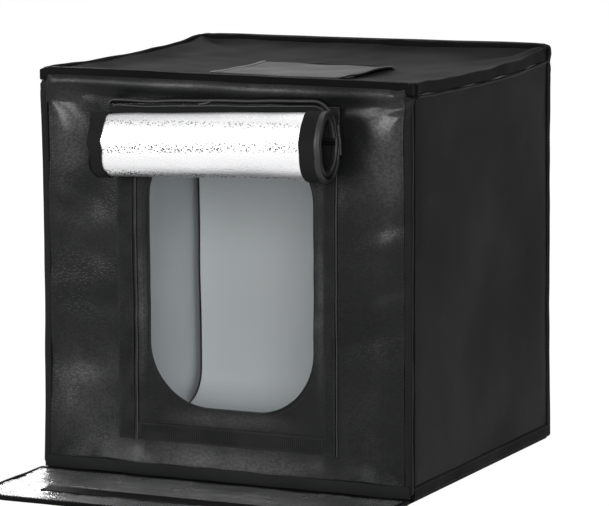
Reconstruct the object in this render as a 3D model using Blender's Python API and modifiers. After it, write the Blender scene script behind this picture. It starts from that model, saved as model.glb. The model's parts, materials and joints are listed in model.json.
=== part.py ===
"""A folding light tent cube: black leathercloth panels over stiff boards, lined in silver.

The base lies on the floor and the top is carried by two side walls, each creased across its
middle so that it folds inward and lets the top come straight down. The front panel hangs from
a header strip and has a shooting window with a roll-up flap. The back panel drops backward,
a closing apron lies in front, and a small flap covers a second window in the top.

Metres, +Z up. The origin is the middle of the base's underside, and the front faces -Y.
"""

import math

import bmesh
import bpy
from mathutils import Vector

COLLECTION_NAME = "light_tent_cube"

# Overall size of the closed cube, without the apron and the rolled flap
WIDTH = 0.400
DEPTH = 0.360
HEIGHT = 0.404

# Sheet goods and the clearance between neighbours
GAP = 0.0003
COVER = 0.0010
BOARD = 0.0030
LINING = 0.0006
TAPE = 0.0012
PANEL = COVER + GAP + BOARD + GAP + LINING

# Base and top slabs with the bound rims around them
BASE_THICKNESS = 0.015
TOP_THICKNESS = 0.012
RIM_WIDTH = 0.004

# Front panel, with the header strip that it hangs from
FRONT_BOTTOM = 0.007
FRONT_BINDING_WIDTH = 0.008
BACK_BINDING_WIDTH = 0.006

# Shooting window in the front panel
WINDOW_WIDTH = 0.179
WINDOW_BOTTOM = 0.075
WINDOW_TOP_SPACE = 0.048
WINDOW_RADIUS = 0.064
WINDOW_OFFSET = 0.008

# Loop tapes that the window flap closes on
LOOP_WIDTH = 0.018
LOOP_TO_WINDOW = 0.013
LOOP_BOTTOM = 0.040

# Window flap, rolled up in front of the panel, silver side out
FLAP_MARGIN = 0.033
FLAP_SHIFT = -0.0045
FLAP_SEAM_SPACE = 0.014
FLAP_SEAM_HEIGHT = 0.012
HOOK_WIDTH = 0.016
ROLL_HALF_DEPTH = 0.0235
ROLL_HALF_HEIGHT = 0.0325
ROLL_DROP = 0.037
ROLL_PITCH = 0.0052
ROLL_TURNS = 1.97
ROLL_STEPS_PER_TURN = 32

# Window in the top, with its flap
TOP_WINDOW_WIDTH = 0.122
TOP_WINDOW_DEPTH = 0.106
TOP_WINDOW_RADIUS = 0.020
TOP_WINDOW_OFFSET_X = 0.008
TOP_WINDOW_OFFSET_Y = -0.015
TOP_FLAP_MARGIN = 0.012
TOP_FLAP_BINDING = 0.005
TOP_FLAP_CORNER = 0.008
TOP_TAPE = 0.0010
TOP_TAPE_WIDTH = 0.009

# Apron that lies in front of the base and closes the folded pack
APRON_DEPTH = 0.142
APRON_RADIUS = 0.038
APRON_BOARD = 0.0015
APRON_BINDING_WIDTH = 0.005
APRON_TONGUE = 0.0097
APRON_HOOK_WIDTH = 0.020
APRON_HOOK_END_SPACE = 0.055
APRON_HOOK_INSET = 0.040

# Backdrop sheet
BACKDROP_SIDE_SPACE = 0.0068
BACKDROP_SHEET = 0.0008
BACKDROP_BACK_SPACE = 0.025
BACKDROP_SWEEP = 0.035
BACKDROP_FRONT_SPACE = 0.024
BACKDROP_SWEEP_STEPS = 10
RAIL_END_SPACE = 0.048
RAIL_DEPTH = 0.010
RAIL_THICKNESS = 0.0025

# Lamps, their lead and the power socket
LAMP_END_SPACE = 0.0448
LAMP_DEPTH = 0.014
LAMP_THICKNESS = 0.0016
LAMP_PAD_THICKNESS = 0.0010
LAMP_PAD_DEPTH = 0.010
FRONT_LAMP_SPACE = 0.060
BACK_LAMP_SPACE = 0.085
LEAD_DIAMETER = 0.0024
LEAD_CLEARANCE = 0.006
LEAD_BEND = 0.012
LEAD_REAR_SPACE = 0.014
SOCKET_WIDTH = 0.022
SOCKET_DEPTH = 0.013
SOCKET_HEIGHT = 0.009
SOCKET_OFFSET = 0.055
SOCKET_REAR_SPACE = 0.003

# Cable port in the back panel
PORT_RADIUS = 0.008
PORT_WALL = 0.0016
PORT_FLANGE = 0.0035
PORT_LIP = 0.0012
PORT_DROP = 0.036
PORT_STEPS = 32

CORNER_STEPS = 8
MERGE_DISTANCE = 0.00001

# Sizes and places that follow from those above
HALF_WIDTH = WIDTH / 2
FRONT = -DEPTH / 2
BACK = DEPTH / 2
FRAME_FRONT = FRONT + PANEL + GAP
FRAME_BACK = BACK - PANEL - GAP
WALL_INNER = HALF_WIDTH - PANEL
WALL_BOTTOM = BASE_THICKNESS
WALL_TOP = HEIGHT - TOP_THICKNESS
CREASE = (WALL_BOTTOM + WALL_TOP) / 2
CEILING = WALL_TOP - GAP
WINDOW_TOP = WALL_TOP - WINDOW_TOP_SPACE
FLAP_WIDTH = WINDOW_WIDTH + 2 * FLAP_MARGIN
FLAP_OFFSET = WINDOW_OFFSET + FLAP_SHIFT
FLAP_SEAM_TOP = WALL_TOP - FLAP_SEAM_SPACE
LOOP_FACE = FRONT - GAP - TAPE
APRON_HINGE = FRAME_FRONT - APRON_TONGUE - GAP
APRON_THICKNESS = COVER + GAP + APRON_BOARD + GAP + LINING
APRON_HOOK_LENGTH = WIDTH - 2 * APRON_HOOK_END_SPACE
TOP_FACE = WALL_TOP + LINING + GAP + BOARD + GAP + COVER
TOP_FLAP_BOTTOM = TOP_FACE + GAP + TOP_TAPE + GAP
TOP_FLAP_THICKNESS = LINING + GAP + COVER
TOP_FLAP_BACK = TOP_WINDOW_OFFSET_Y + TOP_WINDOW_DEPTH / 2 + TOP_FLAP_MARGIN
TOP_FLAP_FRONT = TOP_WINDOW_OFFSET_Y - TOP_WINDOW_DEPTH / 2 - TOP_FLAP_MARGIN
BACKDROP_WIDTH = 2 * (WALL_INNER - BACKDROP_SIDE_SPACE)
BACKDROP_PLACE = FRAME_BACK - BACKDROP_BACK_SPACE
BACKDROP_FLOOR = BASE_THICKNESS + GAP + BACKDROP_SHEET / 2
BACKDROP_TOP = CEILING - RAIL_THICKNESS - GAP
RAIL_LENGTH = BACKDROP_WIDTH - 2 * RAIL_END_SPACE
LAMP_LENGTH = 2 * (WALL_INNER - LAMP_END_SPACE)
FLAP_INNER_FACE = LOOP_FACE - GAP - TAPE

# Colours and surface finish: (red, green, blue), roughness, metallic
FINISHES = {
    "leathercloth": ((0.030, 0.031, 0.030), 0.50, 0.0),
    "silver_lining": ((0.72, 0.73, 0.74), 0.28, 0.9),
    "stiff_board": ((0.42, 0.37, 0.30), 0.85, 0.0),
    "foam": ((0.16, 0.16, 0.17), 0.95, 0.0),
    "binding": ((0.016, 0.016, 0.016), 0.60, 0.0),
    "hook_tape": ((0.012, 0.012, 0.012), 0.90, 0.0),
    "backdrop": ((0.55, 0.57, 0.58), 0.75, 0.0),
    "lamp_board": ((0.80, 0.80, 0.78), 0.45, 0.0),
    "lead": ((0.02, 0.02, 0.02), 0.50, 0.0),
    "rubber": ((0.02, 0.02, 0.02), 0.70, 0.0),
}

UPRIGHT_TURN = (math.pi / 2, 0, 0)
FLAT_TURN = (0, 0, 0)
ALL_CORNERS = (True, True, True, True)
FRONT_CORNERS = (True, False, False, True)

pivot_places = {}


def clear_scene():
    """Removes the objects that the scene starts with."""
    for found in list(bpy.data.objects):
        bpy.data.objects.remove(found, do_unlink=True)


def finish(name):
    """Returns the material of that name, made on its first use."""
    found = bpy.data.materials.get(name)
    if found:
        return found
    colour, roughness, metallic = FINISHES[name]
    made = bpy.data.materials.new(name)
    made.use_nodes = True
    shader = made.node_tree.nodes["Principled BSDF"]
    shader.inputs["Base Color"].default_value = (*colour, 1)
    shader.inputs["Roughness"].default_value = roughness
    shader.inputs["Metallic"].default_value = metallic
    made.diffuse_color = (*colour, 1)
    return made


def place(made, finish_name, pivot):
    """Puts an object in the collection, gives it a finish and hangs it on its pivot."""
    bpy.data.collections[COLLECTION_NAME].objects.link(made)
    made.data.materials.append(finish(finish_name))
    if pivot:
        made.location -= pivot_places[pivot]
        made.parent = bpy.data.objects[pivot]
    return made


def add_pivot(name, at, parent=None):
    """Adds the empty that stands on a joint's axis and carries what turns about it."""
    made = bpy.data.objects.new(name, None)
    made.location = Vector(at)
    bpy.data.collections[COLLECTION_NAME].objects.link(made)
    if parent:
        made.location -= pivot_places[parent]
        made.parent = bpy.data.objects[parent]
    pivot_places[name] = Vector(at)


def slab(name, finish_name, low, high, pivot=None):
    """A rectangular piece between two corners."""
    low, high = Vector(low), Vector(high)
    shape = bmesh.new()
    bmesh.ops.create_cube(shape, size=1)
    bmesh.ops.scale(shape, vec=high - low, verts=shape.verts)
    mesh = bpy.data.meshes.new(name)
    shape.to_mesh(mesh)
    shape.free()
    made = bpy.data.objects.new(name, mesh)
    made.location = (low + high) / 2
    return place(made, finish_name, pivot)


def rounded_rectangle(low, high, radius, rounded_corners=ALL_CORNERS):
    """The outline's points, anticlockwise from the lower right corner."""
    corners = (
        (high[0], low[1], -1, 1, -math.pi / 2),
        (high[0], high[1], -1, -1, 0),
        (low[0], high[1], 1, -1, math.pi / 2),
        (low[0], low[1], 1, 1, math.pi),
    )
    points = []
    for (x, y, inward_x, inward_y, start), rounded in zip(corners, rounded_corners):
        if not rounded or radius <= 0:
            points.append((x, y))
            continue
        for step in range(CORNER_STEPS + 1):
            angle = start + math.pi / 2 * step / CORNER_STEPS
            centre_x = x + inward_x * radius
            centre_y = y + inward_y * radius
            points.append((centre_x + radius * math.cos(angle), centre_y + radius * math.sin(angle)))
    return points


def plate(name, finish_name, outlines, low, high, turn=FLAT_TURN, pivot=None):
    """A flat piece cut to its outlines, the first outside and the others holes.

    Its thickness runs from low to high along +Z, or along +Y where it stands upright.
    """
    curve = bpy.data.curves.new(name, "CURVE")
    curve.dimensions = "2D"
    curve.fill_mode = "BOTH"
    curve.extrude = (high - low) / 2
    for outline in outlines:
        spline = curve.splines.new("POLY")
        spline.points.add(len(outline) - 1)
        for point, (x, y) in zip(spline.points, outline):
            point.co = (x, y, 0, 1)
        spline.use_cyclic_u = True
    made = bpy.data.objects.new(name, curve)
    middle = (low + high) / 2
    made.location = (0, 0, middle) if turn == FLAT_TURN else (0, middle, 0)
    made.rotation_euler = turn
    return place(made, finish_name, pivot)


def frame_plate(
    name,
    finish_name,
    low,
    high,
    border,
    start,
    end,
    turn=FLAT_TURN,
    pivot=None,
    radius=0,
    rounded=ALL_CORNERS,
):
    """A binding that runs round a panel's edge, border wide, as a closed frame."""
    inner_low = (low[0] + border, low[1] + border)
    inner_high = (high[0] - border, high[1] - border)
    outer = rounded_rectangle(low, high, radius, rounded)
    inner = rounded_rectangle(inner_low, inner_high, max(radius - border, 0), rounded)
    return plate(name, finish_name, [outer, inner], start, end, turn, pivot)


def ribbon(name, finish_name, path, low_x, high_x, thickness, pivot=None):
    """A sheet that follows a path in the YZ plane and runs straight along X."""
    shape = bmesh.new()
    rows = [
        [shape.verts.new((x, y, z)) for y, z in path]
        for x in (low_x, high_x)
    ]
    for i in range(len(path) - 1):
        shape.faces.new((rows[0][i], rows[1][i], rows[1][i + 1], rows[0][i + 1]))
    mesh = bpy.data.meshes.new(name)
    shape.to_mesh(mesh)
    shape.free()
    mesh.shade_smooth()
    made = bpy.data.objects.new(name, mesh)
    wall = made.modifiers.new("thickness", "SOLIDIFY")
    wall.thickness = thickness
    wall.offset = 0
    wall.use_even_offset = True
    return place(made, finish_name, pivot)


def stack(start, *thicknesses):
    """The low and high of each layer, laid up from start with a gap between them."""
    spans = []
    for thickness in thicknesses:
        spans.append((start, start + thickness))
        start += thickness + GAP
    return spans


def add_pivots():
    """The joints' axes, each named for the body that turns about it."""
    add_pivot("left_wall_lower_pivot", (-WALL_INNER, 0, WALL_BOTTOM))
    add_pivot("left_wall_upper_pivot", (-HALF_WIDTH, 0, CREASE), "left_wall_lower_pivot")
    add_pivot("top_panel_pivot", (-WALL_INNER, 0, WALL_TOP), "left_wall_upper_pivot")
    add_pivot("right_wall_lower_pivot", (WALL_INNER, 0, WALL_BOTTOM))
    add_pivot("right_wall_upper_pivot", (HALF_WIDTH, 0, CREASE), "right_wall_lower_pivot")
    add_pivot("front_header_pivot", (0, FRAME_FRONT, HEIGHT), "top_panel_pivot")
    add_pivot("front_panel_pivot", (0, FRONT, WALL_TOP), "front_header_pivot")
    add_pivot("window_flap_pivot", (0, FLAP_INNER_FACE, FLAP_SEAM_TOP), "front_panel_pivot")
    add_pivot(
        "top_flap_pivot",
        (0, TOP_FLAP_BACK, TOP_FLAP_BOTTOM + TOP_FLAP_THICKNESS),
        "top_panel_pivot",
    )
    add_pivot("back_panel_pivot", (0, BACK, 0))
    add_pivot("apron_pivot", (0, APRON_HINGE, APRON_THICKNESS))


def build_base():
    """The slab that the tent stands on: cover, board, foam and lining inside a bound rim."""
    inner_x = HALF_WIDTH - RIM_WIDTH - GAP
    inner_front = FRAME_FRONT + RIM_WIDTH + GAP
    inner_back = FRAME_BACK - RIM_WIDTH - GAP
    foam = BASE_THICKNESS - COVER - BOARD - LINING - 3 * GAP
    cover, board, pad, lining = stack(0, COVER, BOARD, foam, LINING)
    tongue_front = FRAME_FRONT - APRON_TONGUE
    slab(
        "base_cover",
        "leathercloth",
        (-HALF_WIDTH, tongue_front, cover[0]),
        (HALF_WIDTH, FRAME_BACK, cover[1]),
    )
    frame_plate(
        "base_binding",
        "binding",
        (-HALF_WIDTH, FRAME_FRONT),
        (HALF_WIDTH, FRAME_BACK),
        RIM_WIDTH,
        board[0],
        BASE_THICKNESS,
    )
    layers = (
        ("base_board", "stiff_board", board),
        ("base_foam_pad", "foam", pad),
        ("base_lining", "silver_lining", lining),
    )
    for name, finish_name, (low, high) in layers:
        slab(name, finish_name, (-inner_x, inner_front, low), (inner_x, inner_back, high))


def build_side_wall(side, sign):
    """One side wall, creased across the middle, as a lower and an upper half."""
    halves = (
        ("lower", WALL_BOTTOM + GAP, CREASE - GAP / 2),
        ("upper", CREASE + GAP / 2, WALL_TOP - GAP),
    )
    lining, board, cover = stack(WALL_INNER, LINING, BOARD, COVER)
    layers = (
        ("lining", "silver_lining", lining),
        ("board", "stiff_board", board),
        ("cover", "leathercloth", cover),
    )
    for half, bottom, top in halves:
        pivot = f"{side}_wall_{half}_pivot"
        for layer, finish_name, (inner, outer) in layers:
            low_x, high_x = sorted((sign * inner, sign * outer))
            slab(
                f"{side}_wall_{half}_{layer}",
                finish_name,
                (low_x, FRAME_FRONT, bottom),
                (high_x, FRAME_BACK, top),
                pivot,
            )


def build_top():
    """The top slab, its bound rim and the window cut through it."""
    half_x = TOP_WINDOW_WIDTH / 2
    half_y = TOP_WINDOW_DEPTH / 2
    window = rounded_rectangle(
        (TOP_WINDOW_OFFSET_X - half_x, TOP_WINDOW_OFFSET_Y - half_y),
        (TOP_WINDOW_OFFSET_X + half_x, TOP_WINDOW_OFFSET_Y + half_y),
        TOP_WINDOW_RADIUS,
    )
    inner_x = HALF_WIDTH - RIM_WIDTH - GAP
    inner_front = FRAME_FRONT + RIM_WIDTH + GAP
    inner_back = FRAME_BACK - RIM_WIDTH - GAP
    outline = rounded_rectangle((-inner_x, inner_front), (inner_x, inner_back), 0)
    lining, board, cover = stack(WALL_TOP, LINING, BOARD, COVER)
    layers = (
        ("top_lining", "silver_lining", lining),
        ("top_board", "stiff_board", board),
        ("top_cover", "leathercloth", cover),
    )
    for name, finish_name, (low, high) in layers:
        plate(name, finish_name, [outline, window], low, high, pivot="top_panel_pivot")
    frame_plate(
        "top_binding",
        "binding",
        (-HALF_WIDTH, FRAME_FRONT),
        (HALF_WIDTH, FRAME_BACK),
        RIM_WIDTH,
        WALL_TOP,
        HEIGHT,
        pivot="top_panel_pivot",
    )


def build_top_flap():
    """The flap over the top window, on its seam tape and its two loop tapes."""
    half_x = TOP_WINDOW_WIDTH / 2 + TOP_FLAP_MARGIN
    left = TOP_WINDOW_OFFSET_X - half_x
    right = TOP_WINDOW_OFFSET_X + half_x
    tape = (TOP_FACE + GAP, TOP_FACE + GAP + TOP_TAPE)
    slab(
        "top_flap_seam_tape",
        "binding",
        (left, TOP_FLAP_BACK - TOP_TAPE_WIDTH, tape[0]),
        (right, TOP_FLAP_BACK, tape[1]),
        "top_panel_pivot",
    )
    loop_back = TOP_FLAP_BACK - TOP_TAPE_WIDTH - GAP
    for side, start in (("left", left), ("right", right - TOP_TAPE_WIDTH)):
        slab(
            f"top_window_loop_{side}",
            "hook_tape",
            (start, TOP_FLAP_FRONT, tape[0]),
            (start + TOP_TAPE_WIDTH, loop_back, tape[1]),
            "top_panel_pivot",
        )
    inset = TOP_FLAP_BINDING + GAP
    inner = rounded_rectangle(
        (left + inset, TOP_FLAP_FRONT + inset),
        (right - inset, TOP_FLAP_BACK - inset),
        TOP_FLAP_CORNER - TOP_FLAP_BINDING,
    )
    lining, cover = stack(TOP_FLAP_BOTTOM, LINING, COVER)
    plate("top_flap_lining", "silver_lining", [inner], *lining, pivot="top_flap_pivot")
    plate("top_flap_cover", "leathercloth", [inner], *cover, pivot="top_flap_pivot")
    frame_plate(
        "top_flap_binding",
        "binding",
        (left, TOP_FLAP_FRONT),
        (right, TOP_FLAP_BACK),
        TOP_FLAP_BINDING,
        TOP_FLAP_BOTTOM,
        TOP_FLAP_BOTTOM + TOP_FLAP_THICKNESS,
        pivot="top_flap_pivot",
        radius=TOP_FLAP_CORNER,
    )


def build_front_panel():
    """The header strip, and the front panel that hangs from it with its window."""
    slab(
        "front_header",
        "leathercloth",
        (-HALF_WIDTH, FRONT, WALL_TOP),
        (HALF_WIDTH, FRONT + PANEL, HEIGHT),
        "front_header_pivot",
    )
    top = WALL_TOP - GAP
    pivot = "front_panel_pivot"
    frame_plate(
        "front_binding",
        "binding",
        (-HALF_WIDTH, FRONT_BOTTOM),
        (HALF_WIDTH, top),
        FRONT_BINDING_WIDTH,
        FRONT,
        FRONT + PANEL,
        UPRIGHT_TURN,
        pivot,
    )
    inset = FRONT_BINDING_WIDTH + GAP
    outline = rounded_rectangle(
        (-HALF_WIDTH + inset, FRONT_BOTTOM + inset),
        (HALF_WIDTH - inset, top - inset),
        0,
    )
    window = rounded_rectangle(
        (WINDOW_OFFSET - WINDOW_WIDTH / 2, WINDOW_BOTTOM),
        (WINDOW_OFFSET + WINDOW_WIDTH / 2, WINDOW_TOP),
        WINDOW_RADIUS,
    )
    cover, board, lining = stack(FRONT, COVER, BOARD, LINING)
    layers = (
        ("front_cover", "leathercloth", cover),
        ("front_board", "stiff_board", board),
        ("front_lining", "silver_lining", lining),
    )
    for name, finish_name, (low, high) in layers:
        plate(name, finish_name, [outline, window], low, high, UPRIGHT_TURN, pivot)


def build_loop_tapes():
    """The loop tapes round the window: two upright and one along the bottom."""
    pivot = "front_panel_pivot"
    top = FLAP_SEAM_TOP - FLAP_SEAM_HEIGHT - GAP
    left_end = WINDOW_OFFSET - WINDOW_WIDTH / 2 - LOOP_TO_WINDOW
    right_start = WINDOW_OFFSET + WINDOW_WIDTH / 2 + LOOP_TO_WINDOW
    spans = (
        ("window_loop_left", left_end - LOOP_WIDTH, left_end, top),
        ("window_loop_right", right_start, right_start + LOOP_WIDTH, top),
        ("window_loop_bottom", left_end + GAP, right_start - GAP, LOOP_BOTTOM + LOOP_WIDTH),
    )
    for name, start, end, high in spans:
        slab(
            name,
            "hook_tape",
            (start, LOOP_FACE, LOOP_BOTTOM),
            (end, FRONT - GAP, high),
            pivot,
        )


def roll_path(offset):
    """The rolled flap's path in the YZ plane, offset outward from its silver lining's middle.

    It hangs straight from the seam, then goes down behind the roll, under it, up its front
    and over, and winds inward from there.
    """
    middle_y = FLAP_INNER_FACE - GAP - LINING / 2 - ROLL_HALF_DEPTH
    middle_z = FLAP_SEAM_TOP - ROLL_DROP
    points = [(middle_y + ROLL_HALF_DEPTH + offset, FLAP_SEAM_TOP)]
    steps = round(ROLL_TURNS * ROLL_STEPS_PER_TURN)
    for step in range(steps + 1):
        turn = ROLL_TURNS * step / steps
        angle = 2 * math.pi * turn
        drawn_in = ROLL_PITCH * turn
        points.append(
            (
                middle_y + (ROLL_HALF_DEPTH + offset - drawn_in) * math.cos(angle),
                middle_z - (ROLL_HALF_HEIGHT + offset - drawn_in) * math.sin(angle),
            )
        )
    return points


def path_length(path):
    """The length along a path."""
    return sum(math.dist(a, b) for a, b in zip(path, path[1:]))


def build_window_flap():
    """The window flap on its seam tape, rolled up with the hook tapes at its ends."""
    left = FLAP_OFFSET - FLAP_WIDTH / 2
    right = FLAP_OFFSET + FLAP_WIDTH / 2
    slab(
        "window_flap_seam_tape",
        "binding",
        (left, FLAP_INNER_FACE, FLAP_SEAM_TOP - FLAP_SEAM_HEIGHT),
        (right, FRONT - GAP, FLAP_SEAM_TOP),
        "front_panel_pivot",
    )
    pivot = "window_flap_pivot"
    lining_path = roll_path(0)
    cover_path = roll_path(-(LINING / 2 + GAP + COVER / 2))
    ribbon("window_flap_lining", "silver_lining", lining_path, left, right, LINING, pivot)
    ribbon("window_flap_cover", "leathercloth", cover_path, left, right, COVER, pivot)
    hook_path = roll_path(LINING / 2 + GAP + TAPE / 2)
    seam_bottom = FLAP_SEAM_TOP - FLAP_SEAM_HEIGHT - GAP
    hook_path[0] = (hook_path[0][0], seam_bottom)
    for side, start in (("left", left), ("right", right - HOOK_WIDTH)):
        ribbon(
            f"window_flap_hook_{side}",
            "hook_tape",
            hook_path,
            start,
            start + HOOK_WIDTH,
            TAPE,
            pivot,
        )
    print(f"window flap: {FLAP_WIDTH:.3f} by {path_length(lining_path):.3f} m flat")
    print(f"least gap between the roll's turns: {least_turn_gap():.5f} m")


def least_turn_gap():
    """The least gap between one turn of the roll and the next, between their outer faces."""
    outer = roll_path(LINING / 2 + GAP + TAPE)
    inner = roll_path(-(LINING / 2 + GAP + COVER))
    apart = ROLL_STEPS_PER_TURN // 2
    gaps = [
        math.dist(a, b)
        for i, a in enumerate(inner)
        for b in outer[i + apart:]
    ]
    return min(gaps)


def build_back_panel():
    """The back panel, which drops backward, with its binding and its cable port."""
    pivot = "back_panel_pivot"
    bottom = GAP
    lining, board, cover = stack(BACK - PANEL, LINING, BOARD, COVER)
    frame_plate(
        "back_binding",
        "binding",
        (-HALF_WIDTH, bottom),
        (HALF_WIDTH, HEIGHT),
        BACK_BINDING_WIDTH,
        BACK - PANEL,
        BACK,
        UPRIGHT_TURN,
        pivot,
    )
    inset = BACK_BINDING_WIDTH + GAP
    outline = rounded_rectangle(
        (-HALF_WIDTH + inset, bottom + inset),
        (HALF_WIDTH - inset, HEIGHT - inset),
        0,
    )
    port_x = SOCKET_OFFSET
    port_z = CEILING - PORT_DROP
    hole_radius = PORT_RADIUS + PORT_WALL + GAP
    hole = rounded_rectangle(
        (port_x - hole_radius, port_z - hole_radius),
        (port_x + hole_radius, port_z + hole_radius),
        hole_radius,
    )
    layers = (
        ("back_lining", "silver_lining", lining),
        ("back_board", "stiff_board", board),
        ("back_cover", "leathercloth", cover),
    )
    for name, finish_name, (low, high) in layers:
        plate(name, finish_name, [outline, hole], low, high, UPRIGHT_TURN, pivot)
    build_cable_port(port_x, port_z, pivot)


def build_cable_port(port_x, port_z, pivot):
    """The rubber grommet in the cable port: a sleeve with a flange on the outer face."""
    sleeve = PORT_RADIUS + PORT_WALL
    rim = sleeve + PORT_FLANGE
    flange_back = PANEL + GAP
    flange_top = flange_back + PORT_LIP
    profile = (
        (PORT_RADIUS, flange_top),
        (rim, flange_top),
        (rim, flange_back),
        (sleeve, flange_back),
        (sleeve, 0),
        (PORT_RADIUS, 0),
    )
    shape = bmesh.new()
    ring = [shape.verts.new((x, 0, z)) for x, z in profile]
    for a, b in zip(ring, ring[1:] + ring[:1]):
        shape.edges.new((a, b))
    mesh = bpy.data.meshes.new("cable_port_grommet")
    shape.to_mesh(mesh)
    shape.free()
    made = bpy.data.objects.new("cable_port_grommet", mesh)
    turned = made.modifiers.new("turned", "SCREW")
    turned.steps = PORT_STEPS
    turned.render_steps = PORT_STEPS
    turned.use_merge_vertices = True
    turned.merge_threshold = MERGE_DISTANCE
    made.location = (port_x, BACK - PANEL, port_z)
    made.rotation_euler = (-math.pi / 2, 0, 0)
    place(made, "rubber", pivot)


def build_apron():
    """The closing apron in front of the base: bound edge, cover, board, lining and hook tape."""
    pivot = "apron_pivot"
    low = (-HALF_WIDTH, APRON_HINGE - APRON_DEPTH)
    high = (HALF_WIDTH, APRON_HINGE)
    frame_plate(
        "apron_binding",
        "binding",
        low,
        high,
        APRON_BINDING_WIDTH,
        0,
        APRON_THICKNESS,
        pivot=pivot,
        radius=APRON_RADIUS,
        rounded=FRONT_CORNERS,
    )
    inset = APRON_BINDING_WIDTH + GAP
    inner = rounded_rectangle(
        (low[0] + inset, low[1] + inset),
        (high[0] - inset, high[1] - inset),
        APRON_RADIUS - inset,
        FRONT_CORNERS,
    )
    cover, board, lining = stack(0, COVER, APRON_BOARD, LINING)
    plate("apron_cover", "leathercloth", [inner], *cover, pivot=pivot)
    plate("apron_board", "stiff_board", [inner], *board, pivot=pivot)
    plate("apron_lining", "silver_lining", [inner], *lining, pivot=pivot)
    hook_front = low[1] + APRON_HOOK_INSET
    slab(
        "apron_hook_tape",
        "hook_tape",
        (-APRON_HOOK_LENGTH / 2, hook_front, APRON_THICKNESS + GAP),
        (APRON_HOOK_LENGTH / 2, hook_front + APRON_HOOK_WIDTH, APRON_THICKNESS + GAP + TAPE),
        pivot,
    )


def build_backdrop():
    """The backdrop sheet, hung from its rail and swept forward over the base."""
    floor_back = BACKDROP_PLACE - BACKDROP_SWEEP
    path = [(BACKDROP_PLACE, BACKDROP_TOP)]
    for step in range(BACKDROP_SWEEP_STEPS + 1):
        angle = math.pi / 2 * step / BACKDROP_SWEEP_STEPS
        path.append(
            (
                floor_back + BACKDROP_SWEEP * math.cos(angle),
                BACKDROP_FLOOR + BACKDROP_SWEEP * (1 - math.sin(angle)),
            )
        )
    path.append((FRAME_FRONT + BACKDROP_FRONT_SPACE, BACKDROP_FLOOR))
    half = BACKDROP_WIDTH / 2
    ribbon("backdrop", "backdrop", path, -half, half, BACKDROP_SHEET)
    print(f"backdrop: {BACKDROP_WIDTH:.3f} by {path_length(path):.3f} m flat")
    slab(
        "backdrop_rail",
        "hook_tape",
        (-RAIL_LENGTH / 2, BACKDROP_PLACE - RAIL_DEPTH / 2, CEILING - RAIL_THICKNESS),
        (RAIL_LENGTH / 2, BACKDROP_PLACE + RAIL_DEPTH / 2, CEILING),
        "top_panel_pivot",
    )


def build_lamps():
    """The two lamp strips under the top, each on a mounting pad."""
    pivot = "top_panel_pivot"
    places = (
        ("front", FRAME_FRONT + FRONT_LAMP_SPACE),
        ("back", FRAME_BACK - BACK_LAMP_SPACE),
    )
    for name, y in places:
        slab(
            f"lamp_pad_{name}",
            "hook_tape",
            (-LAMP_LENGTH / 2, y - LAMP_PAD_DEPTH / 2, CEILING - LAMP_PAD_THICKNESS),
            (LAMP_LENGTH / 2, y + LAMP_PAD_DEPTH / 2, CEILING),
            pivot,
        )
        top = CEILING - LAMP_PAD_THICKNESS - GAP
        slab(
            f"lamp_strip_{name}",
            "lamp_board",
            (-LAMP_LENGTH / 2, y - LAMP_DEPTH / 2, top - LAMP_THICKNESS),
            (LAMP_LENGTH / 2, y + LAMP_DEPTH / 2, top),
            pivot,
        )


def smooth_route(points, spacing):
    """Points about that far apart on a smooth curve through the given ones."""
    knots = [points[0], *points, points[-1]]
    found = []
    for i in range(1, len(knots) - 2):
        before, start, end, after = (Vector(knots[i + k]) for k in (-1, 0, 1, 2))
        steps = max(1, round((end - start).length / spacing))
        for step in range(steps):
            t = step / steps
            found.append(
                (
                    2 * start
                    + (end - before) * t
                    + (2 * before - 5 * start + 4 * end - after) * t ** 2
                    + (3 * start - before - 3 * end + after) * t ** 3
                )
                / 2
            )
    found.append(Vector(points[-1]))
    return found


def build_lead():
    """The lead that joins the lamp strips and runs over the backdrop to the power socket."""
    pivot = "top_panel_pivot"
    radius = LEAD_DIAMETER / 2
    height = CEILING - radius
    run_x = LAMP_LENGTH / 2 + LEAD_CLEARANCE
    front_y = FRAME_FRONT + FRONT_LAMP_SPACE
    rear_y = FRAME_BACK - LEAD_REAR_SPACE
    socket_back = FRAME_BACK - SOCKET_REAR_SPACE
    socket_middle = socket_back - SOCKET_DEPTH / 2
    socket_side = SOCKET_OFFSET + SOCKET_WIDTH / 2
    route = (
        (LAMP_LENGTH / 2 + GAP, front_y, height),
        (LAMP_LENGTH / 2 + LEAD_DIAMETER, front_y, height),
        (run_x, front_y + LEAD_CLEARANCE, height),
        (run_x, (front_y + rear_y) / 2, height),
        (run_x, rear_y - LEAD_BEND, height),
        (run_x - LEAD_BEND, rear_y, height),
        ((run_x + socket_side) / 2, rear_y, height),
        (socket_side + LEAD_BEND, socket_middle, height),
        (socket_side + GAP, socket_middle, height),
    )
    curve = bpy.data.curves.new("lamp_lead", "CURVE")
    curve.dimensions = "3D"
    curve.bevel_depth = radius
    curve.bevel_resolution = 2
    curve.use_fill_caps = True
    points = smooth_route(route, 3 * LEAD_DIAMETER)
    spline = curve.splines.new("POLY")
    spline.points.add(len(points) - 1)
    for point, at in zip(spline.points, points):
        point.co = (*at, 1)
    place(bpy.data.objects.new("lamp_lead", curve), "lead", pivot)
    slab(
        "power_socket",
        "rubber",
        (SOCKET_OFFSET - SOCKET_WIDTH / 2, socket_back - SOCKET_DEPTH, CEILING - SOCKET_HEIGHT),
        (socket_side, socket_back, CEILING),
        pivot,
    )


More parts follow.
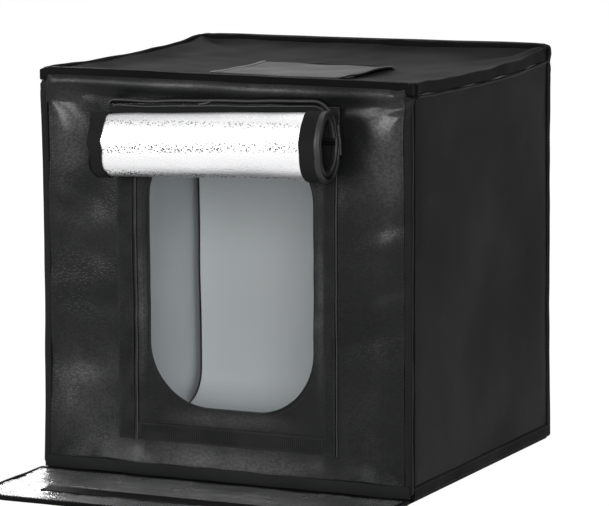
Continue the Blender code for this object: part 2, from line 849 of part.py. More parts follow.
def main():
    """Builds the whole tent."""
    clear_scene()
    collection = bpy.data.collections.new(COLLECTION_NAME)
    bpy.context.scene.collection.children.link(collection)
    add_pivots()
    build_base()
    build_side_wall("left", -1)
    build_side_wall("right", 1)
    build_top()
    build_top_flap()
    build_front_panel()
    build_loop_tapes()
    build_window_flap()
    build_back_panel()
    build_apron()
    build_backdrop()
    build_lamps()
    build_lead()


main()
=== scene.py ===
"""Looks of a folding light tent cube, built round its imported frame.

The base, the side walls, the top, the front and the back are leathercloth panels over boards,
lined in silver foil. Every piece is made in the frame's own metres, with +Z up and the front
facing -Y, and rides on the body that carries it.
"""

from __future__ import annotations

import json
import logging
import math
from collections.abc import Callable, Iterable, Sequence
from dataclasses import dataclass, field
from enum import Enum

import bmesh
import bpy
import numpy as np
from mathutils import Matrix, Vector
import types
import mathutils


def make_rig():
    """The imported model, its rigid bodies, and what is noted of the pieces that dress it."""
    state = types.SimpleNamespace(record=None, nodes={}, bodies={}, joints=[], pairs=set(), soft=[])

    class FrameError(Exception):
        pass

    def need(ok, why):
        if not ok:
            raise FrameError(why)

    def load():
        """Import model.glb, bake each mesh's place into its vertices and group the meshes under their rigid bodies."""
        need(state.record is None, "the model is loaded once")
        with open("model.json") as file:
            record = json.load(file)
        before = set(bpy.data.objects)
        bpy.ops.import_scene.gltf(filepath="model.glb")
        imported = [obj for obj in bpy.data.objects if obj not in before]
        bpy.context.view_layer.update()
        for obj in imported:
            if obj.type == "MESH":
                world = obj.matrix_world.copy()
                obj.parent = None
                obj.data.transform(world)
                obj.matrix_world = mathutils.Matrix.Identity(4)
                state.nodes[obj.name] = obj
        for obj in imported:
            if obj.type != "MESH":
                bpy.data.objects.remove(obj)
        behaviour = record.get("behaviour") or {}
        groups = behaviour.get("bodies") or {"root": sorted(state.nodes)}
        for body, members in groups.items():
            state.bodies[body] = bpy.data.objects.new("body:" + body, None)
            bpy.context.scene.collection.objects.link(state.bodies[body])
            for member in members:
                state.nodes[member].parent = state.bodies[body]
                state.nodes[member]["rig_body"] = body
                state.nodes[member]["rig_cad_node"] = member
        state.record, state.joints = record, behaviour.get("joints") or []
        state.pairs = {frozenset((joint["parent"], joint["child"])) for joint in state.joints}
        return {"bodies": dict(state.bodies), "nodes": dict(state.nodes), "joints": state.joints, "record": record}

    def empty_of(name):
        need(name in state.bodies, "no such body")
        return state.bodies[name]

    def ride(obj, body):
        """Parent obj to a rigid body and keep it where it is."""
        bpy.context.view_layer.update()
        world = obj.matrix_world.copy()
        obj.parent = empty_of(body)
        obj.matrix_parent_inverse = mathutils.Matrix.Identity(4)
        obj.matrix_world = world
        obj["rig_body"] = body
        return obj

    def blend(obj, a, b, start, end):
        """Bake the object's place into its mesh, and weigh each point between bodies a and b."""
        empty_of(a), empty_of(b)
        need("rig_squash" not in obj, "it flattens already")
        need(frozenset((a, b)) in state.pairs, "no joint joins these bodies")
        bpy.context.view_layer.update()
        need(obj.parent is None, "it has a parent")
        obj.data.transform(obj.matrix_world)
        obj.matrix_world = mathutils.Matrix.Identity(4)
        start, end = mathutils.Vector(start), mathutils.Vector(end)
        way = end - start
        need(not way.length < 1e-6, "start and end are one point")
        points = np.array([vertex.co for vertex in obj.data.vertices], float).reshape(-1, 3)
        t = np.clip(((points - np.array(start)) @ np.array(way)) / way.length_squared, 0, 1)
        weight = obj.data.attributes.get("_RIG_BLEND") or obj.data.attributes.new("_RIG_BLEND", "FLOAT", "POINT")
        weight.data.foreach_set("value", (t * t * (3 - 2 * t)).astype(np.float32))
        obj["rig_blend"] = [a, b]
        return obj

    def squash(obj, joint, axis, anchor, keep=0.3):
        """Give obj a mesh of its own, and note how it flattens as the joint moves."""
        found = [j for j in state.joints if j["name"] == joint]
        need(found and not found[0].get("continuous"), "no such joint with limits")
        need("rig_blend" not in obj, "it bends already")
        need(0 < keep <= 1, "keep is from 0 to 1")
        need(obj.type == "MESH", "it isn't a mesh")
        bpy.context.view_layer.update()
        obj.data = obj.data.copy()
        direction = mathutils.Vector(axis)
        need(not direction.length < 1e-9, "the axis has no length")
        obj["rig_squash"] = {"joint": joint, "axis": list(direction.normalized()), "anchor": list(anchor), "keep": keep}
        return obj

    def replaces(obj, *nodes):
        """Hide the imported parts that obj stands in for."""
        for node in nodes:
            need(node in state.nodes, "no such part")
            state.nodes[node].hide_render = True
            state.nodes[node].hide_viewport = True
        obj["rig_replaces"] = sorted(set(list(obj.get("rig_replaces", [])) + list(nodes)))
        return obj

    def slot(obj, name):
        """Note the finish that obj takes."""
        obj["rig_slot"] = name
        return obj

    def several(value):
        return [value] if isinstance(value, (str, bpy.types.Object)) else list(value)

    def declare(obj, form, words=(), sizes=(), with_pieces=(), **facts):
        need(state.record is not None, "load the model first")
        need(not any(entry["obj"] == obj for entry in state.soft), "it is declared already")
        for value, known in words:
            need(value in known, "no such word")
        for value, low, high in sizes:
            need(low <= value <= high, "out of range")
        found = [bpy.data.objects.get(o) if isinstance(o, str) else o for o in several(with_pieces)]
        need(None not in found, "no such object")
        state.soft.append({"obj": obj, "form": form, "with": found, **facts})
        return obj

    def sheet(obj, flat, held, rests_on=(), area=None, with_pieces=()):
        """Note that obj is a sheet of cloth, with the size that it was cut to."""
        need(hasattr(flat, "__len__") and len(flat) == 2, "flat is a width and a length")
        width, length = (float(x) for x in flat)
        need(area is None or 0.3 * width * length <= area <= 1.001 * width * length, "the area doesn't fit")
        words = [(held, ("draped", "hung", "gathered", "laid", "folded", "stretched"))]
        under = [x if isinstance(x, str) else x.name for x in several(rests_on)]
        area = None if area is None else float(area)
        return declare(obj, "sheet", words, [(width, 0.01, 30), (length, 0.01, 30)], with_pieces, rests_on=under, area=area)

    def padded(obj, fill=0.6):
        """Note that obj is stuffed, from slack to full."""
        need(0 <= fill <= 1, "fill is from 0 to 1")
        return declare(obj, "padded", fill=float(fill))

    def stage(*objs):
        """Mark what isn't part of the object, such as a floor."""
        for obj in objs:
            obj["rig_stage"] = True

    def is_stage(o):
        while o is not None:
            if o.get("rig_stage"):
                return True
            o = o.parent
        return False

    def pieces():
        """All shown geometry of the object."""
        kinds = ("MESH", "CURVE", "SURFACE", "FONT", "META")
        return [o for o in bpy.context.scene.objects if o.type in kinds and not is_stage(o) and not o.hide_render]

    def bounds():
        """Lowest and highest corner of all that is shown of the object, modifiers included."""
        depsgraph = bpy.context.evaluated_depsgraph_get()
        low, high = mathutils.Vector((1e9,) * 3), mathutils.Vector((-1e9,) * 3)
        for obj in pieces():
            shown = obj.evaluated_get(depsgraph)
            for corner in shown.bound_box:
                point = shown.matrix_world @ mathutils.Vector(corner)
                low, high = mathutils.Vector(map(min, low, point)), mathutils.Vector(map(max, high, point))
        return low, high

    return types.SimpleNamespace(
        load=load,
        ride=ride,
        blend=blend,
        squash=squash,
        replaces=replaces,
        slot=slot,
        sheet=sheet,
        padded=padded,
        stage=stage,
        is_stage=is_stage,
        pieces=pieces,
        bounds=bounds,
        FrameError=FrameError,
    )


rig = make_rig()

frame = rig.load()

Array = np.ndarray
Socket = bpy.types.NodeSocket
Pair = tuple[float, float]
Point = tuple[float, float, float]
Band = tuple[float, float, float, float]
Spot = tuple[float, float, float, float, float]
Face = tuple[int, ...]
Relief = Callable[[Array], Array]

log = logging.getLogger("light_tent")
TAU = 2 * math.pi
SIZE_FILE = "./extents.json"

# Directions in the frame, and the cube's four upright corners as (side, end)
RIGHT = np.array((1.0, 0.0, 0.0))
BACK = np.array((0.0, 1.0, 0.0))
FORWARD = np.array((0.0, -1.0, 0.0))
UP = np.array((0.0, 0.0, 1.0))
CORNERS = ((-1, -1), (-1, 1), (1, -1), (1, 1))

# Sizes that several panels share
SHARP = 0.0004
SEAM_STEP = 0.0040
FINE_STEP = 0.0035
SHEET_STEP = 0.0080
RINGS = 10
COVER = 0.0010
BOARD_NEAR, BOARD_FAR = 0.0013, 0.0043
LINING_NEAR, LINING_FAR = 0.0052, 0.0046
PANEL_CORNER = 0.0035
RIM_CORNER = 0.0030
SOFT_EDGE_POWER = 1.3


# Node trees


class Graph:
    """Adds nodes to a tree and links them."""

    def __init__(self, tree: bpy.types.NodeTree) -> None:
        """Keeps the tree that the nodes go into."""
        self.tree = tree

    def add(self, kind: str, inputs: dict | None = None, **settings: object) -> bpy.types.Node:
        """Adds a node.

        Args:
            kind: the node's type name.
            inputs: what goes into its sockets, a value or another node's output.
            settings: the node's own properties.

        Returns:
            The new node.
        """
        node = self.tree.nodes.new(kind)
        for name, value in settings.items():
            setattr(node, name, value)
        for key, value in (inputs or {}).items():
            socket = node.inputs[key]
            if isinstance(value, Socket):
                self.tree.links.new(value, socket)
            else:
                socket.default_value = value
        return node

    def calc(self, operation: str, first: object, second: object = 0.0) -> Socket:
        """Returns the output of a Math node."""
        return self.add("ShaderNodeMath", {0: first, 1: second}, operation=operation).outputs[0]

    def times(self, first: object, second: object) -> Socket:
        """Returns a product."""
        return self.calc("MULTIPLY", first, second)

    def vector(self, operation: str, first: object, second: object) -> Socket:
        """Returns the output of a Vector Math node."""
        inputs = {0: first, ("Scale" if operation == "SCALE" else 1): second}
        return self.add("ShaderNodeVectorMath", inputs, operation=operation).outputs[0]

    def ease(self, value: object, start: float, end: float, low: float = 0.0, high: float = 1.0) -> Socket:
        """Returns value eased from low at start to high at end."""
        inputs = {"Value": value, "From Min": start, "From Max": end, "To Min": low, "To Max": high}
        return self.add("ShaderNodeMapRange", inputs, interpolation_type="SMOOTHSTEP").outputs["Result"]

    def noise(self, place: object, scale: object, detail: float = 2.0, output: str = "Fac") -> Socket:
        """Returns a noise texture's value or colour at a place."""
        inputs = {"Vector": place, "Scale": scale, "Detail": detail}
        return self.add("ShaderNodeTexNoise", inputs).outputs[output]

    def blend(self, share: object, first: object, second: object) -> Socket:
        """Returns a mix of two colours."""
        node = self.add("ShaderNodeMix", {"Factor": share, "A": first, "B": second}, data_type="RGBA")
        return node.outputs["Result"]

    def place(self) -> Socket:
        """Returns the piece's own coordinates."""
        return self.add("ShaderNodeTexCoord").outputs["Object"]

    def shared(self, texture: Texture, inputs: dict) -> bpy.types.Node:
        """Places a shared shader group."""
        return self.add("ShaderNodeGroup", inputs, node_tree=bpy.data.node_groups[texture.value])


def new_group(name: str, inputs: dict, outputs: dict, kind: str = "ShaderNodeTree") -> Graph:
    """Makes a node group with named sockets.

    Args:
        name: the group's name.
        inputs: each input's name, with its socket type and starting value.
        outputs: each output's name, with its socket type.
        kind: the type of tree.

    Returns:
        The graph of the new group.
    """
    tree = bpy.data.node_groups.new(name, kind)
    for label, (socket_type, value) in inputs.items():
        socket = tree.interface.new_socket(label, in_out="INPUT", socket_type=socket_type)
        if value is not None:
            socket.default_value = value
    for label, socket_type in outputs.items():
        tree.interface.new_socket(label, in_out="OUTPUT", socket_type=socket_type)
    return Graph(tree)


def pebble_group() -> bpy.types.NodeTree:
    """Builds the leather grain: soft pebbles, raised more in some patches.

    Returns:
        The new shader group.
    """
    coarseness, drift_size, smoothness = 0.4, 0.9, 0.3
    least_patch, fineness, fine_share = 0.25, 3.0, 0.06
    inputs = {
        "Place": ("NodeSocketVector", None), "Cells": ("NodeSocketFloat", 400.0),
        "Patches": ("NodeSocketFloat", 12.0), "Stretch": ("NodeSocketVector", (1.0, 1.0, 1.0)),
    }
    outputs = {"Height": "NodeSocketFloat", "Patch": "NodeSocketFloat"}
    graph = new_group("pebble_grain", inputs, outputs)
    given = graph.add("NodeGroupInput").outputs
    drift = graph.noise(given["Place"], graph.times(given["Cells"], coarseness), 1.0, "Color")
    drift = graph.vector("SUBTRACT", drift, (0.5, 0.5, 0.5))
    drift = graph.vector("SCALE", drift, graph.calc("DIVIDE", drift_size, given["Cells"]))
    bent = graph.vector("MULTIPLY", graph.vector("ADD", given["Place"], drift), given["Stretch"])
    inputs = {"Vector": bent, "Scale": given["Cells"], "Smoothness": smoothness}
    cell = graph.add("ShaderNodeTexVoronoi", inputs, feature="SMOOTH_F1")
    pebble = graph.ease(cell.outputs["Distance"], 0.05, 0.70, 1.0, 0.0)
    patch = graph.ease(graph.noise(given["Place"], given["Patches"]), 0.38, 0.62, least_patch, 1.0)
    fine = graph.noise(given["Place"], graph.times(given["Cells"], fineness))
    height = graph.calc("ADD", graph.times(pebble, patch), graph.times(fine, fine_share))
    graph.add("NodeGroupOutput", {"Height": height, "Patch": patch})
    return graph.tree


def dimple_group() -> bpy.types.NodeTree:
    """Builds the foil's stamped dimples, its soft crinkles and dark specks in some dimples, painted reflections of dark
    surroundings.

    Returns:
        The new shader group.
    """
    crinkle_height, fineness, unevenness, unspecked_share = 2.0, 1.7, 0.35, 0.22
    inputs = {
        "Place": ("NodeSocketVector", None), "Cells": ("NodeSocketFloat", 420.0),
        "Crinkles": ("NodeSocketFloat", 45.0),
    }
    outputs = {"Height": "NodeSocketFloat", "Specks": "NodeSocketFloat"}
    graph = new_group("foil_dimples", inputs, outputs)
    given = graph.add("NodeGroupInput").outputs
    cell = graph.add("ShaderNodeTexVoronoi", {"Vector": given["Place"], "Scale": given["Cells"]})
    pit = graph.ease(cell.outputs["Distance"], 0.1, 0.5)
    crinkle = graph.noise(given["Place"], given["Crinkles"], 3.0)
    height = graph.calc("ADD", pit, graph.times(crinkle, crinkle_height))
    # Painted reflection: dark specks in some dimples stand for the dark surroundings that the foil mirrors.
    chance = graph.add("ShaderNodeSeparateColor", {"Color": cell.outputs["Color"]}).outputs[0]
    uneven = graph.noise(given["Place"], graph.times(given["Cells"], fineness), 1.0)
    away = graph.calc("ADD", cell.outputs["Distance"], graph.times(uneven, unevenness))
    round_spot = graph.ease(away, 0.50, 0.62, 1.0, 0.0)
    painted_specks = graph.times(round_spot, graph.calc("GREATER_THAN", chance, unspecked_share))
    graph.add("NodeGroupOutput", {"Height": height, "Specks": painted_specks})
    return graph.tree


def weave_group() -> bpy.types.NodeTree:
    """Builds a plain weave from crossed sets of threads.

    Returns:
        The new shader group.
    """
    inputs = {"Place": ("NodeSocketVector", None), "Threads": ("NodeSocketFloat", 320.0)}
    graph = new_group("plain_weave", inputs, {"Height": "NodeSocketFloat"})
    given = graph.add("NodeGroupInput").outputs
    inputs = {"Vector": given["Place"], "Scale": given["Threads"], "Distortion": 1.2, "Detail": 1.0}
    kind = "ShaderNodeTexWave"
    waves = [graph.add(kind, inputs, bands_direction=axis).outputs["Fac"] for axis in ("X", "Y", "Z")]
    height = graph.calc("MAXIMUM", graph.calc("MAXIMUM", waves[0], waves[1]), waves[2])
    graph.add("NodeGroupOutput", {"Height": height})
    return graph.tree


def tone_group() -> bpy.types.NodeTree:
    """Builds the slow, cloudy change of tone that handling leaves.

    Returns:
        The new shader group.
    """
    broad_share, small_share, smallness = 0.7, 0.3, 11.0
    inputs = {"Place": ("NodeSocketVector", None), "Clouds": ("NodeSocketFloat", 9.0)}
    graph = new_group("handled_tone", inputs, {"Tone": "NodeSocketFloat"})
    given = graph.add("NodeGroupInput").outputs
    broad = graph.ease(graph.noise(given["Place"], given["Clouds"], 3.0), 0.32, 0.68)
    small = graph.noise(given["Place"], graph.times(given["Clouds"], smallness))
    tone = graph.calc("ADD", graph.times(broad, broad_share), graph.times(small, small_share))
    graph.add("NodeGroupOutput", {"Tone": tone})
    return graph.tree


# Finishes


class Texture(Enum):
    """How a finish's surface is textured."""

    GRAINED = "pebble_grain"
    DIMPLED = "foil_dimples"
    WOVEN = "plain_weave"
    SMOOTH = "handled_tone"


@dataclass(frozen=True)
class Finish:
    """A finish of the tent: two tones, a sheen and a texture in relief; some also carry painted dark specks, painted
    shade and painted sheen.
    """

    name: str
    slot: str
    dark: Point
    light: Point
    roughness: float
    texture: Texture = Texture.SMOOTH
    cells: float = 400.0
    relief: float = 0.0002
    strength: float = 0.5
    metallic: float = 0.0
    specular: float = 0.5
    clouds: float = 9.0
    patches: float = 12.0
    stretch: Point = (1.0, 1.0, 1.0)
    # Painted reflection: dark specks in some dimples, in bands
    painted_speck_bands: tuple[Band, ...] = ()
    # Painted shade: darker bands where reflections fall darker
    painted_shade_bands: tuple[Band, ...] = ()
    # Painted sheen: places where a thicker coat paints broad highlights
    painted_sheen: tuple[Spot, ...] = ()
    coat: Pair = (0.0, 1.0)
    gloss_spread: float = 0.05
    painted_shade_grain: Point = (4.0, 45.0, 90.0)
    painted_shade_tone: Band = (0.22, 0.22, 0.23, 1.0)
    painted_speck_grain: Point = (60.0, 60.0, 60.0)
    painted_speck_tone: Band = (0.02, 0.02, 0.02, 1.0)
    coat_ease: Band = (0.00, 0.26, 0.66, 1.0)
    coat_polish: float = 0.02

    def make(self) -> bpy.types.Material:
        """Builds the material.

        Returns:
            The new material, under the finish's name.
        """
        material = bpy.data.materials.new(self.name)
        material.use_nodes = True
        graph = Graph(material.node_tree)
        links = material.node_tree.links
        sockets = material.node_tree.nodes["Principled BSDF"].inputs
        sockets["Metallic"].default_value = self.metallic
        sockets["Specular IOR Level"].default_value = self.specular
        place = graph.place()
        tone = graph.shared(Texture.SMOOTH, {"Place": place, "Clouds": self.clouds}).outputs["Tone"]
        colour = graph.blend(tone, (*self.dark, 1), (*self.light, 1))
        least, most = self.roughness + self.gloss_spread, self.roughness - self.gloss_spread
        gloss = graph.ease(tone, 0.0, 1.0, least, most)
        if self.texture is Texture.SMOOTH:
            height = graph.noise(place, self.cells, 3.0)
        else:
            detail = self.detail(graph, place)
            height = detail["Height"]
            # Painted shade: patchy darker bands round the top and the foot of the roll, where its reflections are
            # darker.
            if self.painted_shade_bands:
                painted_shade = self.bands(graph, place, self.painted_shade_bands, self.painted_shade_grain)
                colour = graph.blend(painted_shade, colour, self.painted_shade_tone)
            # Painted reflection: dark specks in some dimples, in patchy bands across the roll.
            if self.painted_speck_bands:
                patchy = self.bands(graph, place, self.painted_speck_bands, self.painted_speck_grain)
                colour = graph.blend(graph.times(detail["Specks"], patchy), colour, self.painted_speck_tone)
            if self.texture is Texture.GRAINED:
                gloss = graph.calc("SUBTRACT", gloss, graph.times(detail["Patch"], self.gloss_spread))
        inputs = {"Strength": self.strength, "Distance": self.relief, "Height": height}
        links.new(colour, sockets["Base Color"])
        links.new(gloss, sockets["Roughness"])
        links.new(graph.add("ShaderNodeBump", inputs).outputs["Normal"], sockets["Normal"])
        # Painted sheen: the coat, laid thicker at the listed places and on the pebble crests, paints the light's broad
        # highlights.
        if self.painted_sheen:
            painted_shine = graph.ease(self.painted_sheen_spots(graph, place), 0.0, 1.0, *self.coat)
            links.new(graph.times(painted_shine, graph.ease(height, *self.coat_ease)), sockets["Coat Weight"])
            sockets["Coat Roughness"].default_value = self.roughness - self.coat_polish
        return material

    def detail(self, graph: Graph, place: Socket) -> bpy.types.NodeOutputs:
        """Places the group that gives the texture in relief.

        Args:
            graph: the material's graph.
            place: the piece's own coordinates.

        Returns:
            The group's outputs.
        """
        inputs = {"Place": place, ("Threads" if self.texture is Texture.WOVEN else "Cells"): self.cells}
        if self.texture is Texture.GRAINED:
            inputs |= {"Patches": self.patches, "Stretch": self.stretch}
        return graph.shared(self.texture, inputs).outputs

    def painted_sheen_spots(self, graph: Graph, place: Socket) -> Socket:
        """Makes the mask of painted sheen: the places where the coat is laid thicker so that they gleam like the
        light's broad highlights.

        Args:
            graph: the material's graph.
            place: the piece's own coordinates.

        Returns:
            The mask.
        """
        total: object = 0.0
        for x, z, half_x, half_z, strength in self.painted_sheen:
            away = graph.vector("SUBTRACT", place, (x, 0.0, z))
            away = graph.vector("MULTIPLY", away, (1 / half_x, 0.0, 1 / half_z))
            distance = graph.add("ShaderNodeVectorMath", {0: away}, operation="LENGTH").outputs["Value"]
            total = graph.calc("MAXIMUM", total, graph.ease(distance, 0.0, 1.0, strength, 0.0))
        return graph.times(total, graph.ease(graph.noise(place, 24.0), 0.30, 0.60, 0.65, 1.0))

    def bands(self, graph: Graph, place: Socket, rows: Sequence[Band], grain: Point) -> Socket:
        """Makes a patchy mask of bands that run along X.

        Args:
            graph: the material's graph.
            place: the piece's own coordinates.
            rows: each band's height, half height, strength and slope.
            grain: how fine the patches are along each axis.

        Returns:
            The mask.
        """
        axes = graph.add("ShaderNodeSeparateXYZ", {"Vector": place}).outputs
        patchy = graph.ease(graph.noise(graph.vector("MULTIPLY", place, grain), 1.0), 0.24, 0.46)
        total: Socket | None = None
        for middle, half, strength, slope in rows:
            level = graph.calc("ADD", graph.times(axes["X"], slope), middle)
            away = graph.calc("ABSOLUTE", graph.calc("SUBTRACT", axes["Z"], level))
            band = graph.times(graph.ease(away, half * 0.4, half, strength, 0.0), patchy)
            total = band if total is None else graph.calc("MAXIMUM", total, band)
        return total


# Places of the front with painted sheen, a thicker coat that paints the light's broad highlights, as (x, z, half width,
# half height, strength)
PAINTED_SHEEN_FRONT = (
    (-0.170, 0.345, 0.050, 0.080, 0.60),
    (0.172, 0.335, 0.066, 0.130, 0.72),
    (0.165, 0.215, 0.050, 0.060, 0.20),
    (-0.150, 0.245, 0.060, 0.055, 0.30),
    (-0.145, 0.078, 0.085, 0.115, 0.54),
    (0.008, 0.066, 0.110, 0.018, 0.60),
    (0.150, 0.080, 0.070, 0.090, 0.16),
    (0.000, 0.026, 0.230, 0.034, 0.60),
    (0.000, 0.3925, 0.230, 0.010, 0.50),
    (-0.0885, 0.190, 0.012, 0.150, 0.60),
    (0.1045, 0.190, 0.012, 0.150, 0.60),
)

LOOKS = (
    Finish(
        "front_leathercloth", "leathercloth", (0.0042, 0.0045, 0.0044), (0.0075, 0.0080, 0.0078), 0.37,
        Texture.GRAINED, cells=280.0, relief=0.0005, strength=0.36, specular=0.070, patches=16.0,
        stretch=(1.0, 1.0, 1.6), coat=(0.14, 1.25), painted_sheen=PAINTED_SHEEN_FRONT,
    ),
    Finish(
        "wall_leathercloth", "leathercloth", (0.0100, 0.0110, 0.0103), (0.0145, 0.0155, 0.0148), 0.62,
        Texture.GRAINED, cells=420.0, relief=0.0003, strength=0.25, specular=0.035, clouds=5.0,
    ),
    Finish(
        "top_leathercloth", "leathercloth", (0.0085, 0.0090, 0.0087), (0.0150, 0.0155, 0.0150), 0.85,
        Texture.GRAINED, cells=420.0, relief=0.0003, strength=0.3, specular=0.08, clouds=6.0,
    ),
    Finish(
        "flap_leathercloth", "leathercloth", (0.030, 0.030, 0.030), (0.042, 0.042, 0.042), 0.62,
        Texture.GRAINED, cells=420.0, relief=0.0003, strength=0.2, specular=0.30, clouds=8.0,
    ),
    Finish(
        "roll_foil", "silver_lining", (0.80, 0.80, 0.81), (0.88, 0.88, 0.89), 0.32,
        Texture.DIMPLED, cells=450.0, relief=0.0005, strength=0.35, metallic=0.85,
        # Painted dark reflections in the roll's dimples
        painted_speck_bands=(
            (0.3607, 0.0036, 0.70, 0.030), (0.3388, 0.0074, 1.0, 0.057), (0.3080, 0.0058, 1.0, 0.010),
        ),
        # Painted shade at the top and the foot of the roll
        painted_shade_bands=((0.3748, 0.0125, 0.46, 0.067), (0.3090, 0.0110, 0.18, 0.010)),
    ),
    Finish(
        "apron_foil", "silver_lining", (0.66, 0.66, 0.67), (0.78, 0.78, 0.79), 0.25,
        Texture.DIMPLED, cells=330.0, relief=0.0005, strength=0.22, metallic=0.95,
    ),
    Finish(
        "wall_foil", "silver_lining", (0.66, 0.69, 0.70), (0.74, 0.77, 0.78), 0.5,
        Texture.DIMPLED, cells=430.0, relief=0.0002, strength=0.10, metallic=0.25,
    ),
    Finish(
        "bound_tape", "binding", (0.0030, 0.0030, 0.0030), (0.0052, 0.0052, 0.0052), 0.62,
        Texture.WOVEN, cells=330.0, relief=0.00012, strength=0.3, specular=0.035,
    ),
    Finish(
        "front_tape", "binding", (0.0054, 0.0057, 0.0055), (0.0086, 0.0090, 0.0088), 0.52,
        Texture.WOVEN, cells=330.0, relief=0.00012, strength=0.3, specular=0.075,
    ),
    Finish(
        "edge_piping", "binding", (0.010, 0.010, 0.010), (0.016, 0.016, 0.016), 0.40,
        Texture.WOVEN, cells=330.0, relief=0.00012, strength=0.3, specular=0.35,
    ),
    Finish(
        "loop_tape", "hook_tape", (0.0057, 0.0060, 0.0063), (0.0110, 0.0114, 0.0118), 0.66,
        Texture.GRAINED, cells=1100.0, relief=0.0004, strength=0.5, specular=0.14, clouds=30.0,
    ),
    Finish(
        "hook_tape", "hook_tape", (0.0045, 0.0045, 0.0045), (0.0075, 0.0075, 0.0075), 0.70,
        Texture.GRAINED, cells=900.0, relief=0.0005, strength=0.6, specular=0.10,
    ),
    Finish(
        "backdrop_sheet", "backdrop", (0.70, 0.735, 0.745), (0.74, 0.77, 0.78), 0.55,
        cells=90.0, relief=0.0002, strength=0.08, specular=0.3, clouds=4.0,
    ),
    Finish(
        "thread", "binding", (0.012, 0.012, 0.012), (0.024, 0.024, 0.024), 0.6, cells=2500.0, specular=0.2
    ),
    Finish("solder", "lamp_board", (0.55, 0.55, 0.55), (0.68, 0.68, 0.68), 0.34, metallic=0.9, cells=900.0),
    Finish("stiff_board", "stiff_board", (0.36, 0.31, 0.25), (0.45, 0.39, 0.31), 0.85, cells=700.0),
    Finish("foam", "foam", (0.13, 0.13, 0.14), (0.19, 0.19, 0.20), 0.92, cells=900.0, strength=0.9),
    Finish("lamp_board", "lamp_board", (0.74, 0.74, 0.72), (0.83, 0.83, 0.81), 0.42, cells=600.0),
    Finish("lamp_chip", "lamp_board", (0.95, 0.86, 0.55), (1.0, 0.93, 0.66), 0.35, cells=900.0),
    Finish("lead_jacket", "lead", (0.014, 0.014, 0.014), (0.024, 0.024, 0.024), 0.45, cells=900.0),
    Finish("moulded_rubber", "rubber", (0.014, 0.014, 0.014), (0.024, 0.024, 0.024), 0.62, cells=1400.0),
)
FINISHES = {look.name: look for look in LOOKS}


# Shapes


class Plane(Enum):
    """A panel's plane: the axes across it, up it and through it."""

    FRONT = (0, 2, 1)
    SIDE = (1, 2, 0)
    TOP = (0, 1, 2)

    def lift(self, flat: Array, level: float | Array) -> Array:
        """Puts flat points into space.

        Args:
            flat: the points in the plane.
            level: how far along the third axis they go.

        Returns:
            The points in space.
        """
        points = np.zeros((len(flat), 3))
        points[:, self.value[:2]] = flat
        points[:, self.value[2]] = level
        return points


@dataclass
class Shape:
    """Points and faces of a piece."""

    points: Array
    faces: list[Face]


def ramp(value: Array, reach: float) -> Array:
    """Returns 0 up to nought, rising evenly to 1 at reach."""
    return np.clip(value / reach, 0, 1)


def swell(away: Array, reach: float, power: float = 2) -> Array:
    """Returns 1 where away is nought, dying off past reach."""
    return np.exp(-((away / reach) ** power))


def wander(points: Array, wavelength: float, seed: int, waves: int = 9) -> Array:
    """Makes a smooth seeded undulation of about unit size.

    Args:
        points: where it is wanted.
        wavelength: the middling distance between its crests.
        seed: which undulation it is.
        waves: how many plain waves it sums.

    Returns:
        Its value at each point.
    """
    rng = np.random.default_rng(seed)
    directions = rng.normal(size=(waves, points.shape[1]))
    directions /= np.linalg.norm(directions, axis=1, keepdims=True)
    directions /= wavelength * rng.uniform(0.7, 1.5, (waves, 1))
    phases = rng.uniform(0, TAU, waves)
    return np.cos(TAU * points @ directions.T + phases).sum(1) / math.sqrt(waves)


def ruffle(points: Array, size: float, wavelength: float, seed: int) -> Array:
    """Shifts points a little along every axis, as cloth lies."""
    shift = [wander(points, wavelength, seed + axis) for axis in range(3)]
    return points + size * np.column_stack(shift)


